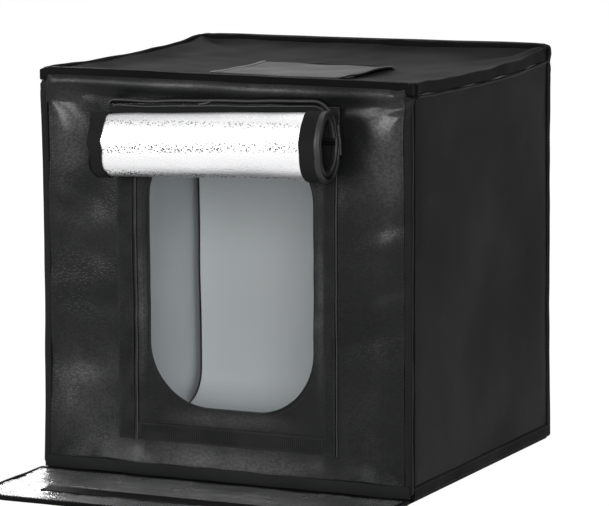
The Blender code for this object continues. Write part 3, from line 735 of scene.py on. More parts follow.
@dataclass(frozen=True)
class Slump:
    """How the standing cube settles: edges draw in, the top sags and corners stand proud."""

    half_width: float = 0.200
    half_depth: float = 0.180
    height: float = 0.404
    left_bow: float = 0.0014
    right_bow: float = 0.0012
    edge_bow: float = 0.0026
    rim_sag: float = 0.0042
    middle_sag: float = 0.0086
    corner_rise: float = -0.0008
    front_left_share: float = 3.0
    corner_power: int = 14
    pucker: float = 0.0011
    pucker_reach: float = 0.0150
    pucker_drop: float = 0.0060
    pucker_wavelength: float = 0.0100
    front_right_pucker: float = 1.6
    other_pucker: float = 0.7
    back_rise: float = 0.0020
    back_right_rise: float = 0.0036
    back_end_dip: float = 0.0030
    back_right_lean: float = 0.0020

    def move(self, points: Array) -> Array:
        """Moves points from the flat cube to the settled one.

        Args:
            points: the points as the frame has them.

        Returns:
            The settled points.
        """
        moved = np.array(points, float)
        u = np.clip(moved[:, 0] / self.half_width, -1, 1)
        v = np.clip(moved[:, 1] / self.half_depth, -1, 1)
        w = np.clip(2 * moved[:, 2] / self.height - 1, -1, 1)
        waist = 1 - w**2
        flank = np.abs(u) ** 3
        moved[:, 0] -= np.sign(u) * np.where(u < 0, self.left_bow, self.right_bow) * flank * waist
        moved[:, 1] -= np.sign(v) * self.edge_bow * flank * np.abs(v) ** 3 * waist
        sag = (1 - v**2) * (self.rim_sag * u**2 + self.middle_sag * (1 - u**2))
        proud = self.corner_rise * np.where((u < 0) & (v < 0), self.front_left_share, 1.0)
        proud *= (np.abs(u) * np.abs(v)) ** self.corner_power
        lifted = self.back_rise + self.back_right_rise * (1 + u) / 2
        lifted -= self.back_end_dip * ramp(u - 0.93, 0.07) ** 2
        proud += lifted * ramp(v - 0.45, 0.5) ** 2
        upper = np.clip(w, 0, 1)
        share = upper**2 * (3 - 2 * upper)
        moved[:, 2] += share * (proud - sag)
        moved[:, 0] -= self.back_right_lean * share * np.clip(v, 0, 1) * np.clip(u, 0, 1) ** 3
        for side, end in CORNERS:
            corner = (side * self.half_width, end * self.half_depth, self.height - self.pucker_drop)
            near = np.exp(-(((moved - np.array(corner)) / self.pucker_reach) ** 2).sum(1))
            share = self.front_right_pucker if (side, end) == (1, -1) else self.other_pucker
            for axis in range(3):
                wave = wander(points, self.pucker_wavelength, 20 + axis + 3 * side + 7 * end)
                moved[:, axis] += self.pucker * share * near * wave
        return moved


SLUMP = Slump()


def lattice(rows: int, columns: int, wrap_rows: bool = False, wrap_columns: bool = False) -> list[Face]:
    """Lists the quads between rows of points.

    Args:
        rows: how many rows there are.
        columns: how many points each row has.
        wrap_rows: whether the last row meets the first.
        wrap_columns: whether each row is closed on itself.

    Returns:
        The quads.
    """
    faces = []
    for i in range(rows if wrap_rows else rows - 1):
        here, below = i * columns, (i + 1) % rows * columns
        for j in range(columns if wrap_columns else columns - 1):
            beside = (j + 1) % columns
            faces.append((here + j, here + beside, below + beside, below + j))
    return faces


def outline(
    low: Pair, high: Pair, radii: Sequence[float], inset: float = 0.0, spacing: float = SEAM_STEP
) -> Array:
    """Samples a rounded rectangle anticlockwise from its lower right corner.

    Args:
        low: lowest corner.
        high: highest corner.
        radii: each corner's radius, from the lower right one.
        inset: how far inside that rectangle the line runs.
        spacing: the distance between points on the rectangle itself.

    Returns:
        The points, as many at every inset.
    """
    places = ((high[0], low[1]), high, (low[0], high[1]), low)
    inward = ((-1, 1), (-1, -1), (1, -1), (1, 1))
    arcs = []
    for turn, (place, side, radius) in enumerate(zip(places, inward, radii)):
        reach = max(radius, inset + SHARP)
        steps = max(4, round(radius * math.pi / 2 / spacing))
        angle = math.pi / 2 * (turn - 1 + np.linspace(0, 1, steps + 1))
        middle = np.array(place) + np.array(side) * reach
        arcs.append(middle + (reach - inset) * np.column_stack((np.cos(angle), np.sin(angle))))
    runs = []
    width, height = high[0] - low[0], high[1] - low[1]
    for turn, arc in enumerate(arcs):
        after = (turn + 1) % 4
        run = (height if turn % 2 == 0 else width) - radii[turn] - radii[after]
        share = np.linspace(0, 1, max(1, round(run / spacing)) + 1)[1:-1, None]
        runs += [arc, arc[-1] * (1 - share) + arcs[after][0] * share]
    return np.vstack(runs)


def soft_box(low: Pair, high: Pair, radius: float) -> Array:
    """Returns a small section with rounded corners."""
    return outline(low, high, (radius,) * 4, 0.0, 10 * radius)


def soft_bar(half_width: float, half_height: float, radius: float) -> Array:
    """Returns a small section centred on its path."""
    return soft_box((-half_width, -half_height), (half_width, half_height), radius)


@dataclass(frozen=True)
class Hole:
    """A rounded opening in a panel."""

    low: Pair
    high: Pair
    radius: float

    def edge(self, outer: Array) -> Array:
        """Finds where the lines from the opening's middle to outer points leave it.

        Args:
            outer: points round the panel.

        Returns:
            A point on the opening's edge for each.
        """
        low, high = np.array(self.low), np.array(self.high)
        middle = (low + high) / 2
        near, far = np.zeros(len(outer)), np.ones(len(outer))
        for _ in range(40):
            share = (near + far) / 2
            beyond = np.abs(share[:, None] * (outer - middle)) - ((high - low) / 2 - self.radius)
            depth = np.hypot(*np.maximum(beyond, 0).T) + np.minimum(beyond.max(1), 0) - self.radius
            near, far = np.where(depth < 0, share, near), np.where(depth < 0, far, share)
        return middle + near[:, None] * (outer - middle)

    def outline(self, inset: float = 0.0, spacing: float = SEAM_STEP) -> Array:
        """Samples the opening's edge."""
        return outline(self.low, self.high, (self.radius,) * 4, inset, spacing)


def flat_sheet(
    low: Pair, high: Pair, spacing: float, hole: Hole | None, rows: int
) -> tuple[Array, list[Face]]:
    """Lays out a panel's points in its plane, as a grid or as rings round its opening.

    Args:
        low: lowest corner.
        high: highest corner.
        spacing: the distance between points along its edge.
        hole: its opening, if it has one.
        rows: how many rings go from the opening to the edge.

    Returns:
        The points and the faces between them.
    """
    if hole is None:
        across, up = (
            np.linspace(start, end, max(2, round((end - start) / spacing) + 1))
            for start, end in zip(low, high)
        )
        grid = np.stack(np.meshgrid(across, up, indexing="ij"), -1).reshape(-1, 2)
        return grid, lattice(len(across), len(up))
    outer = outline(low, high, (SHARP,) * 4, 0.0, spacing)
    inner = hole.edge(outer)
    share = ((1 - np.cos(math.pi * np.linspace(0, 1, rows))) / 2)[:, None, None]
    rings = inner[None] * (1 - share) + outer[None] * share
    return rings.reshape(-1, 2), lattice(rows, len(outer), wrap_columns=True)


def close_sheet(near: Array, far: Array, faces: list[Face]) -> Shape:
    """Makes a shell from a sheet's two sides, walled along its open edges.

    Args:
        near: the points of one side.
        far: the points of the other.
        faces: the faces of either side.

    Returns:
        The closed shell.
    """
    near, far = near.reshape(-1, 3), far.reshape(-1, 3)
    count = len(near)
    edges = {(a, b) for face in faces for a, b in zip(face, face[1:] + face[:1])}
    walls = [(b, a, count + a, count + b) for a, b in sorted(edges) if (b, a) not in edges]
    backs = [tuple(count + i for i in reversed(face)) for face in faces]
    return Shape(np.vstack((near, far)), faces + backs + walls)


def extrude(profile: Array, places: Array, axis: int = 0) -> Array:
    """Returns rows of points in space: a flat profile at each of the places along an axis."""
    return np.array([np.insert(profile, axis, place, axis=1) for place in places])


def sweep(path: Array, across: Array, up: Array, section: Array, closed: bool = False) -> Shape:
    """Carries a section along a path.

    Args:
        path: the points that it follows.
        across: the direction of the section's first measure, one or one for each point.
        up: the direction of its second measure.
        section: the section's points, anticlockwise.
        closed: whether the path meets itself.

    Returns:
        The swept shape, its ends closed.
    """
    across, up = (np.broadcast_to(way, path.shape)[:, None] for way in (across, up))
    points = path[:, None] + section[None, :, :1] * across + section[None, :, 1:] * up
    count = len(section)
    faces = lattice(len(path), count, closed, True)
    if not closed:
        faces.append(tuple(range(count)))
        faces.append(tuple(reversed(range((len(path) - 1) * count, len(path) * count))))
    return Shape(points.reshape(-1, 3), faces)


def rim(
    plane: Plane, low: Pair, high: Pair, radii: Sequence[float], section: Array, spacing: float = SEAM_STEP
) -> Shape:
    """Returns a ring: a section of points (inset, level) carried round a rounded rectangle."""
    rings = [plane.lift(outline(low, high, radii, inset, spacing), level) for inset, level in section]
    return Shape(np.vstack(rings), lattice(len(rings), len(rings[0]), True, True))


def resample(path: Iterable[Sequence[float]], spacing: float) -> Array:
    """Spaces a path's points about evenly.

    Args:
        path: the points that it passes.
        spacing: the distance between the new points.

    Returns:
        The new points.
    """
    path = np.array(path, float)
    along = np.concatenate(([0], np.cumsum(np.linalg.norm(np.diff(path, axis=0), axis=1))))
    places = np.linspace(0, along[-1], max(2, round(along[-1] / spacing) + 1))
    return np.column_stack([np.interp(places, along, path[:, axis]) for axis in range(path.shape[1])])


def smooth_path(path: Array) -> tuple[Array, Array]:
    """Finds how a flat path runs.

    Args:
        path: its points.

    Returns:
        Its unit direction at each point, and the normal to its right.
    """
    ahead = np.gradient(path, axis=0)
    ahead /= np.linalg.norm(ahead, axis=1, keepdims=True)
    return ahead, np.column_stack((ahead[:, 1], -ahead[:, 0]))


# Repeated shapes


class Unit(Enum):
    """What is repeated along a path."""

    THREAD = "thread"
    RIB = "rib"
    CHIP = "chip"


def repeat_tree(unit: Unit) -> bpy.types.NodeTree:
    """Builds the tree that sets a unit at even steps along the edges of a mesh.

    Args:
        unit: a stitch of thread, a rib of tape or a lamp chip.

    Returns:
        The new geometry tree.
    """
    inputs = {
        "Path": ("NodeSocketGeometry", None), "Pitch": ("NodeSocketFloat", 0.004),
        "Length": ("NodeSocketFloat", 0.003), "Width": ("NodeSocketFloat", 0.0006),
        "Height": ("NodeSocketFloat", 0.0006), "Turn Axis": ("NodeSocketVector", (0.0, 0.0, 1.0)),
        "Turn": ("NodeSocketFloat", 0.0), "Unevenness": ("NodeSocketFloat", 0.0),
        "Seed": ("NodeSocketInt", 7), "Finish": ("NodeSocketMaterial", None),
    }
    outputs = {"Geometry": "NodeSocketGeometry"}
    graph = new_group(f"repeat_{unit.value}", inputs, outputs, "GeometryNodeTree")
    given = graph.add("NodeGroupInput").outputs
    curve = graph.add("GeometryNodeMeshToCurve", {"Mesh": given["Path"]}).outputs[0]
    inputs = {"Curve": curve, "Length": given["Pitch"]}
    dots = graph.add("GeometryNodeCurveToPoints", inputs, mode="LENGTH").outputs
    inputs = {"Vector": dots["Tangent"]}
    facing = graph.add("FunctionNodeAlignRotationToVector", inputs, axis="Z").outputs[0]
    inputs = {2: -1.0, 3: 1.0, "Seed": given["Seed"]}
    chance = graph.add("FunctionNodeRandomValue", inputs, data_type="FLOAT").outputs[1]
    angle = graph.calc("ADD", given["Turn"], graph.times(chance, given["Unevenness"]))
    inputs = {"Axis": given["Turn Axis"], "Angle": angle}
    spin = graph.add("FunctionNodeAxisAngleToRotation", inputs).outputs[0]
    inputs = {"Rotation": facing, "Rotate By": spin}
    turned = graph.add("FunctionNodeRotateRotation", inputs, rotation_space="GLOBAL").outputs[0]
    kind, inputs = {
        Unit.CHIP: ("GeometryNodeMeshCube", {"Size": (1.0, 1.0, 1.0)}),
        Unit.RIB: ("GeometryNodeMeshCylinder", {"Vertices": 8, "Radius": 0.5, "Depth": 1.0}),
        Unit.THREAD: ("GeometryNodeMeshUVSphere", {"Segments": 6, "Rings": 4, "Radius": 0.5}),
    }[unit]
    shape = graph.add(kind, inputs).outputs["Mesh"]
    inputs = {0: given["Width"], 1: given["Height"], 2: given["Length"]}
    sizes = graph.add("ShaderNodeCombineXYZ", inputs).outputs[0]
    inputs = {"Points": dots[0], "Instance": shape, "Rotation": turned, "Scale": sizes}
    placed = graph.add("GeometryNodeInstanceOnPoints", inputs).outputs[0]
    real = graph.add("GeometryNodeRealizeInstances", {"Geometry": placed}).outputs[0]
    inputs = {"Geometry": real, "Material": given["Finish"]}
    dressed = graph.add("GeometryNodeSetMaterial", inputs).outputs[0]
    graph.add("NodeGroupOutput", {"Geometry": dressed})
    return graph.tree


# The bench


def stand(name: str, data: bpy.types.ID) -> bpy.types.Object:
    """Stands something in the scene.

    Args:
        name: its name.
        data: its mesh, light or camera.

    Returns:
        The new object.
    """
    holder = bpy.data.objects.new(name, data)
    bpy.context.scene.collection.objects.link(holder)
    return holder


@dataclass(frozen=True)
class Bend:
    """Two bodies that a piece bends between, and where the bend starts and ends."""

    first: str
    second: str
    start: Point
    end: Point


@dataclass
class Bench:
    """Turns shapes into pieces, dresses them and ties them to the frame's bodies."""

    finishes: dict[str, bpy.types.Material] = field(default_factory=dict)
    trees: dict[Unit, bpy.types.NodeTree] = field(default_factory=dict)
    sharp_angle: float = math.radians(40)
    unit_sharp_angle: float = math.radians(50)
    thread_width: float = 0.0006
    thread_share: float = 0.72
    thread_unevenness: float = 0.08

    def __post_init__(self) -> None:
        """Makes the shared groups, the finishes and the trees of repeated shapes."""
        for build in (pebble_group, dimple_group, weave_group, tone_group):
            build()
        self.finishes = {name: finish.make() for name, finish in FINISHES.items()}
        self.trees = {unit: repeat_tree(unit) for unit in Unit}

    def add(
        self, name: str, shape: Shape | bpy.types.Mesh, finish: str, body: str | Bend,
        stands_for: Iterable[str] = (), flat: bool = False,
    ) -> bpy.types.Object:
        """Makes a piece and ties it to its body.

        Args:
            name: the piece's name.
            shape: its shape, or a finished mesh.
            finish: the name of its finish.
            body: the body that it rides on, or the bend that it follows.
            stands_for: the frame's nodes that it replaces.
            flat: whether its faces are shaded flat.

        Returns:
            The new piece.
        """
        if isinstance(shape, Shape):
            mesh = bpy.data.meshes.new(name)
            mesh.from_pydata(shape.points.tolist(), [], shape.faces)
            self.turn_outward(mesh)
            if not flat:
                mesh.shade_smooth()
                mesh.set_sharp_from_angle(angle=self.sharp_angle)
        else:
            mesh = shape
            mesh.name = name
        mesh.materials.clear()
        mesh.materials.append(self.finishes[finish])
        piece = stand(name, mesh)
        if isinstance(body, Bend):
            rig.blend(piece, body.first, body.second, body.start, body.end)
        else:
            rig.ride(piece, body)
        nodes = tuple(stands_for)
        if nodes:
            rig.replaces(piece, *nodes)
        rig.slot(piece, FINISHES[finish].slot)
        place = body if isinstance(body, str) else body.second
        log.info("%s: %d faces, %s", name, len(mesh.polygons), place)
        return piece

    def turn_outward(self, mesh: bpy.types.Mesh) -> None:
        """Turns a closed mesh's faces outward.

        Args:
            mesh: the mesh, changed in place.
        """
        shape = bmesh.new()
        shape.from_mesh(mesh)
        bmesh.ops.recalc_face_normals(shape, faces=shape.faces)
        shape.to_mesh(mesh)
        shape.free()

    def dress(self, node: str, finish: str) -> None:
        """Gives one of the frame's own nodes a finish.

        Args:
            node: the node's name.
            finish: the name of its finish.
        """
        materials = frame["nodes"][node].data.materials
        materials.clear()
        materials.append(self.finishes[finish])

    def repeat(
        self, name: str, unit: Unit, paths: Sequence[Array], finish: str, body: str | Bend,
        values: dict[str, object], closed: bool = False,
    ) -> bpy.types.Object:
        """Sets a unit along paths.

        Args:
            name: the piece's name.
            unit: what is repeated.
            paths: the paths that it follows.
            finish: the name of its finish.
            body: what it rides on.
            values: the tree's inputs, by name.
            closed: whether each path meets itself.

        Returns:
            The piece that holds every unit.
        """
        points, edges = [], []
        for path in paths:
            first = len(points)
            points += path.tolist()
            edges += [(first + i, first + i + 1) for i in range(len(path) - 1)]
            if closed:
                edges.append((len(points) - 1, first))
        guide_mesh = bpy.data.meshes.new(f"{name}_guide")
        guide_mesh.from_pydata(points, edges, [])
        guide = stand(f"{name}_guide", guide_mesh)
        modifier = guide.modifiers.new("repeat", "NODES")
        modifier.node_group = self.trees[unit]
        items = self.trees[unit].interface.items_tree
        sockets = {item.name: item.identifier for item in items if item.in_out == "INPUT"}
        for label, value in {**values, "Finish": self.finishes[finish]}.items():
            modifier[sockets[label]] = value
        bpy.context.view_layer.update()
        evaluated = guide.evaluated_get(bpy.context.evaluated_depsgraph_get())
        mesh = bpy.data.meshes.new_from_object(evaluated)
        guide.modifiers.clear()
        bpy.data.objects.remove(guide)
        mesh.shade_smooth()
        if unit is not Unit.THREAD:
            mesh.set_sharp_from_angle(angle=self.unit_sharp_angle)
        return self.add(name, mesh, finish, body)

    def stitch(
        self, name: str, paths: Sequence[Array], body: str | Bend, closed: bool = False, pitch: float = 0.0038
    ) -> None:
        """Sews a row of stitches along each path.

        Args:
            name: the piece's name.
            paths: the paths that the rows follow.
            body: what they ride on.
            closed: whether each path meets itself.
            pitch: the distance from stitch to stitch.
        """
        values = {
            "Pitch": pitch, "Length": pitch * self.thread_share, "Width": self.thread_width,
            "Height": self.thread_width, "Unevenness": self.thread_unevenness,
        }
        self.repeat(name, Unit.THREAD, paths, "thread", body, values, closed)


@dataclass(frozen=True)
class Layer:
    """One layer of a panel: its extent in the plane, its two levels and its finish."""

    name: str
    node: str
    low: Pair
    high: Pair
    near: float
    far: float
    finish: str
    spacing: float = SHEET_STEP
    rows: int = RINGS


def build_layer(
    bench: Bench, plane: Plane, layer: Layer, body: str | Bend, hole: Hole | None = None,
    relief: Relief | None = None, stands_for: Sequence[str] = (), outward: float = 1.0, pressed: bool = False,
) -> None:
    """Makes a panel's layer, settled with the cube.

    Args:
        bench: where the piece is made.
        plane: the panel's plane.
        layer: the layer's sizes and finish.
        body: what it rides on.
        hole: the opening cut in it.
        relief: how far its near side stands out, from points in the plane.
        stands_for: the nodes it replaces, where there are more than its own.
        outward: the panel's outward side along its axis, 1 or -1.
        pressed: whether it only gives way under the relief, its far side flat.
    """
    flat, faces = flat_sheet(layer.low, layer.high, layer.spacing, hole, layer.rows)
    lift = relief(flat) if relief else np.zeros(len(flat))
    lift = outward * (np.minimum(lift, 0) if pressed else lift)
    near = SLUMP.move(plane.lift(flat, layer.near + lift))
    far = SLUMP.move(plane.lift(flat, layer.far + (0 if pressed else lift)))
    bench.add(layer.name, close_sheet(near, far, faces), layer.finish, body, stands_for or (layer.node,))


@dataclass(frozen=True)
class Stack:
    """The cover, board and lining of the front, the top or the back, all cut to one size."""

    name: str
    plane: Plane
    low: Pair
    high: Pair
    face: float
    outward: int
    finish: str
    spacing: float
    rows: int
    hole: Hole

    def build(self, bench: Bench, relief: Relief) -> None:
        """Builds the three layers.

        Args:
            bench: where they are made.
            relief: how far the cover stands out, from points in the plane.
        """
        body = f"{self.name}_panel"
        for part, node, depths, finish, spacing, rows in (
            ("leather", "cover", (0.0, COVER), self.finish, self.spacing, self.rows),
            ("stiffener", "board", (BOARD_NEAR, BOARD_FAR), "stiff_board", SHEET_STEP, RINGS),
            ("foil", "lining", (LINING_NEAR, LINING_FAR), "wall_foil", SHEET_STEP, RINGS),
        ):
            near, far = (self.face - self.outward * depth for depth in depths)
            name, node = f"{self.name}_{part}", f"{self.name}_{node}"
            layer = Layer(name, node, self.low, self.high, near, far, finish, spacing, rows)
            shaped, pressed = (None if part == "foil" else relief), part == "stiffener"
            build_layer(bench, self.plane, layer, body, self.hole, shaped, (), self.outward, pressed)


def settled(shape: Shape) -> Shape:
    """Returns a shape settled with the cube."""
    return Shape(SLUMP.move(shape.points), shape.faces)


# Front


@dataclass
class FrontPanel:
    """The front: a padded panel with the shooting window, its tapes and the header above it."""

    bench: Bench
    face: float = -0.1800
    half_width: float = 0.2000
    bottom: float = 0.0070
    top: float = 0.3917
    border: float = 0.0080
    thickness: float = 0.0052
    cut_low: Pair = (-0.1923, 0.0147)
    cut_high: Pair = (0.1923, 0.3840)
    window: Hole = Hole((-0.0815, 0.0750), (0.0975, 0.3440), 0.0640)
    padding: float = 0.0010
    edge_sink: float = 0.0017
    edge_reach: float = 0.0130
    ridge_place: float = 0.1900
    ridge_reach: float = 0.0240
    ridge_height: float = 0.0032
    head_sink: float = 0.0030
    head_reach: float = 0.0170
    corner_creases: tuple[Pair, ...] = ((-1, 0.0020), (1, 0.0010))
    left_corner_sink: float = 0.0022
    deepest: float = -0.0024
    sewn_level: float = -0.0006
    loop_width: float = 0.0172
    right_loop_width: float = 0.0121
    loop_low: float = 0.0400
    loop_high: float = 0.3657
    left_loop: float = -0.1140
    right_loop: float = 0.1085
    left_selvedge: float = -0.0933
    right_selvedge: float = 0.1222
    tape: float = 0.0012
    rib_pitch: float = 0.0021
    seam_left: float = -0.1150
    seam_level: float = 0.3742
    seam_slope: float = 0.041
    turn_start: float = 0.1010
    turn_width: float = 0.0265
    turn_foot: float = 0.3400
    turn_height: float = 0.0432
    header_low: float = 0.3921
    header_high: float = 0.4040
    fold_foot: float = 0.3700
    fold_half_width: float = 0.1930
    hinge_level: float = 0.4036
    dents: tuple[Spot, ...] = (
        (0.168, 0.262, 0.030, 0.010, 0.0016),
        (0.180, 0.205, 0.026, 0.011, 0.0014),
        (0.158, 0.158, 0.034, 0.010, 0.0012),
        (-0.158, 0.285, 0.030, 0.012, 0.0014),
        (-0.150, 0.225, 0.034, 0.014, 0.0010),
        (-0.160, 0.112, 0.040, 0.026, 0.0022),
        (0.020, 0.026, 0.120, 0.007, 0.0010),
    )

    def relief(self, flat: Array) -> Array:
        """Shapes the padded face: sunk at its edges, creased in its upper corners and dented.

        Args:
            flat: points (x, z) on the face.

        Returns:
            How far each stands out.
        """
        x, z = flat.T
        low, high = self.bottom + self.border, self.top - self.border
        edge = np.minimum(self.half_width - self.border - np.abs(x), np.minimum(z - low, high - z))
        ridge = ramp(z - 0.215, 0.08) * ramp(0.392 - z, 0.02) * swell(self.ridge_place - x, self.ridge_reach)
        sunk = swell(np.maximum(edge, 0), self.edge_reach, SOFT_EDGE_POWER) * (1 - 0.8 * ridge)
        height = self.padding - self.edge_sink * sunk
        height += 0.0009 * wander(flat, 0.085, 11) + 0.00030 * wander(flat, 0.034, 12)
        height += self.ridge_height * ridge - self.head_sink * swell(self.top - z, self.head_reach)
        for side, crease in self.corner_creases:
            away_x, away_z = self.half_width - side * x, self.top - z
            reach = np.hypot(away_x, away_z)
            fan = np.cos(7.0 * np.arctan2(away_z, away_x) - 1.1)
            height += crease * fan * swell(reach, 0.085) * ramp(reach, 0.02)
            if side < 0:
                height -= self.left_corner_sink * swell(reach, 0.060)
        for middle_x, middle_z, wide, tall, depth in self.dents:
            slant = z - middle_z - 0.25 * np.sign(middle_x) * (x - middle_x)
            height -= depth * swell(x - middle_x, wide) * swell(slant, tall)
        middle = (self.window.low[0] + self.window.high[0]) / 2
        calm = ramp(0.095 - np.abs(x - middle), 0.02)
        return np.maximum(height * (1 - 0.75 * calm), self.deepest)

    def fold(self, z: Array) -> Array:
        """Returns how far the fold of cloth under the header stands out at heights z."""
        rise, fall = ramp(z - 0.3790, 0.0105), ramp(z - 0.3900, 0.0071)
        return 0.0028 * rise**2 * (3 - 2 * rise) - 0.0025 * fall**2

    def on_face(self, flat: Array, proud: float = 0.0) -> Array:
        """Puts points (x, z) on the padded face, or proud of it."""
        return SLUMP.move(Plane.FRONT.lift(flat, self.face - proud - self.relief(flat)))

    def over_fold(self, flat: Array, proud: float) -> Array:
        """Puts points (x, z) proud of the face, or of the fold where that stands prouder."""
        level = np.maximum(self.relief(flat), self.fold(flat[:, 1]))
        return SLUMP.move(Plane.FRONT.lift(flat, self.face - proud - level))

    def build(self) -> None:
        """Builds the panel and what is sewn to it."""
        stack = Stack(
            "front", Plane.FRONT, self.cut_low, self.cut_high, self.face, -1,
            "front_leathercloth", FINE_STEP, 34, self.window,
        )
        stack.build(self.bench, self.relief)
        self.build_edges()
        self.build_window_edge()
        self.build_tapes()
        self.build_flap_seam()
        self.build_header()
        self.build_folds()

    def build_edges(self) -> None:
        """Builds the panel's bound edge and its hem."""
        low, high = (-self.half_width, self.bottom), (self.half_width, self.top)
        section = soft_box((0.0, self.face), (self.border, self.face + self.thickness), 0.0017)
        shape = rim(Plane.FRONT, low, high, (PANEL_CORNER,) * 4, section)
        x, z = shape.points[:, 0], shape.points[:, 2]
        inner = np.column_stack((np.clip(x, -0.192, 0.192), np.clip(z, 0.015, 0.3837)))
        edge = np.minimum(self.half_width - np.abs(x), np.minimum(z - self.bottom, self.top - z))
        follows = ramp(edge, self.border) * (shape.points[:, 1] < self.face + 0.002)
        shape.points[:, 1] -= (np.maximum(self.relief(inner), self.sewn_level) + 0.0002) * follows
        shape.points = SLUMP.move(ruffle(shape.points, 0.00022, 0.045, 21))
        self.bench.add("front_bound_edge", shape, "front_tape", "front_panel", ("front_binding",))
        reach, level = self.half_width - 0.0020, self.bottom + 0.0040
        hem = np.linspace((-reach, self.face, level), (reach, self.face, level), 130)
        hem = ruffle(SLUMP.move(hem), 0.0003, 0.05, 23)
        shape = sweep(hem, UP, FORWARD, soft_box((-0.0072, -0.0012), (0.0052, 0.0010), 0.0008))
        self.bench.add("front_hem", shape, "wall_leathercloth", "front_panel")

    def build_window_edge(self) -> None:
        """Builds the turned edge of the window, and the rows of stitches on the face."""
        lip = (
            (-0.0026, 0.0003), (-0.0020, -0.0001), (-0.0004, -0.0003),
            (0.0003, 0.0002), (0.0003, 0.0010), (-0.0010, 0.0012),
        )
        jamb = (
            (-0.0012, 0.0009), (0.0004, 0.0008), (0.0005, 0.0030),
            (0.0004, 0.0053), (-0.0008, 0.0056), (-0.0024, 0.0054),
        )
        window, follow_share = self.window, 0.8
        for name, profile, finish in (
            ("window_turned_edge", lip, "front_leathercloth"),
            ("window_jamb", jamb, "flap_leathercloth"),
        ):
            section = np.array([(inset, self.face + level) for inset, level in profile])
            shape = rim(Plane.FRONT, window.low, window.high, (window.radius,) * 4, section, FINE_STEP)
            shape.points[:, 1] -= self.relief(shape.points[:, (0, 2)]) * follow_share
            self.bench.add(name, settled(shape), finish, "front_panel")
        low, high = (-self.half_width, self.bottom), (self.half_width, self.top)
        for name, seam in (
            ("front_edge_stitches", outline(low, high, (PANEL_CORNER,) * 4, self.border + 0.0022)),
            ("window_edge_stitches", window.outline(-0.0045)),
        ):
            self.bench.stitch(name, [self.on_face(seam, 0.0001)], "front_panel", True)

    def strip(self, name: str, low: Pair, high: Pair, node: str, selvedge: float | None = None) -> None:
        """Sews a loop tape on the face, with its ribs, two rows of stitches and its selvedge.

        Args:
            name: the tape's name.
            low: its lowest corner (x, z).
            high: its highest corner.
            node: the frame's node that it replaces.
            selvedge: how far across its light edge runs, where the tape stands upright.
        """
        upright = selvedge is not None
        along = 1 if upright else 0
        ends = np.array((low, high), float)
        half = (ends[1] - ends[0])[1 - along] / 2
        ends[:, 1 - along] = ends[:, 1 - along].mean()
        line = resample(ends, SEAM_STEP)
        across = RIGHT if upright else UP
        section = soft_box((-half, -self.tape * 0.4), (half, self.tape * 0.75), 0.0004)
        shape = sweep(self.on_face(line, 0.0004), across, FORWARD, section)
        self.bench.add(name, shape, "loop_tape", "front_panel", (node,))
        values = {
            "Pitch": self.rib_pitch, "Length": 2 * half - 0.0046, "Width": 0.0012, "Height": 0.0010,
            "Turn Axis": (0.0, 1.0, 0.0), "Turn": math.pi / 2, "Unevenness": 0.012,
        }
        proud = self.tape * 0.75 + 0.0004
        ribs = self.on_face(line[1:-1], proud)
        self.bench.repeat(f"{name}_ribs", Unit.RIB, [ribs], "loop_tape", "front_panel", values)
        rows = []
        for side in (-1, 1):
            row = line.copy()
            row[:, 1 - along] += side * (half - 0.0012)
            rows.append(self.on_face(row, proud))
        self.bench.stitch(f"{name}_stitches", rows, "front_panel", False, 0.0032)
        if upright:
            edge = np.column_stack((np.full(len(line), selvedge), line[:, 1]))
            circle = soft_box((-0.0008, -0.0009), (0.0008, 0.0008), 0.0007)
            shape = sweep(self.on_face(edge, self.tape * 0.5), across, FORWARD, circle)
            self.bench.add(f"{name}_selvedge", shape, "edge_piping", "front_panel")

    def build_tapes(self) -> None:
        """Builds the three loop tapes round the window."""
        foot, head = self.loop_low, self.loop_high
        for name, start, wide, selvedge in (
            ("loop_left", self.left_loop, self.loop_width, self.left_selvedge),
            ("loop_right", self.right_loop, self.right_loop_width, self.right_selvedge),
        ):
            self.strip(name, (start, foot), (start + wide, head), f"window_{name}", selvedge)
        low = (self.left_selvedge + 0.0010, foot)
        high = (self.right_loop - 0.0003, foot + self.loop_width)
        self.strip("loop_bottom", low, high, "window_loop_bottom")

    def build_flap_seam(self) -> None:
        """Builds the sewn band over the roll, with its two piped lines turned down at the ends."""
        x = np.linspace(-0.1190, 0.1272, 90)
        over = np.clip((x - self.turn_start) / self.turn_width, 0, 0.999)
        level = self.seam_level + self.seam_slope * (x - self.seam_left)
        turned = self.turn_foot + self.turn_height * np.sqrt(1 - over**2)
        top = np.where(x < self.turn_start, level, turned) - 0.0008
        foot = 0.3640 - 0.0320 * ramp(x - 0.0950, 0.0200)
        share = np.linspace(0, 1, 9)
        flat = np.array([(px, z0 + (z1 - z0) * t) for px, z0, z1 in zip(x, foot, top) for t in share])
        near, far = self.over_fold(flat, 0.0030), self.over_fold(flat, 0.0004)
        shape = close_sheet(near, far, lattice(len(x), len(share)))
        self.bench.add("flap_seam_band", shape, "bound_tape", "front_panel", ("window_flap_seam_tape",))
        turn = np.linspace(0, math.pi / 2, 12)
        back = turn[::-1]
        hook = np.column_stack((self.seam_left - 0.0045 * np.sin(back), 0.3700 + 0.0040 * np.cos(back)))
        bend_x = self.turn_start + self.turn_width * np.sin(turn)
        bend_z = self.turn_foot + self.turn_height * np.cos(turn)
        corners = np.vstack((hook, np.column_stack((bend_x, bend_z)), [(0.1278, 0.3330)]))
        for name, inset, radius in (("flap_seam_piping", 0.0, 0.0016), ("flap_seam_cord", 0.0050, 0.0014)):
            line = resample(corners, 0.003)
            _, beside = smooth_path(line)
            line = line + beside * inset
            line[:, 1] += 0.0006 * wander(line, 0.06, 31)
            path = self.over_fold(line, 0.0034 + radius * 0.7)
            circle = soft_bar(radius, radius, radius * 0.98)
            shape = sweep(path, Plane.FRONT.lift(beside, 0.0), FORWARD, circle)
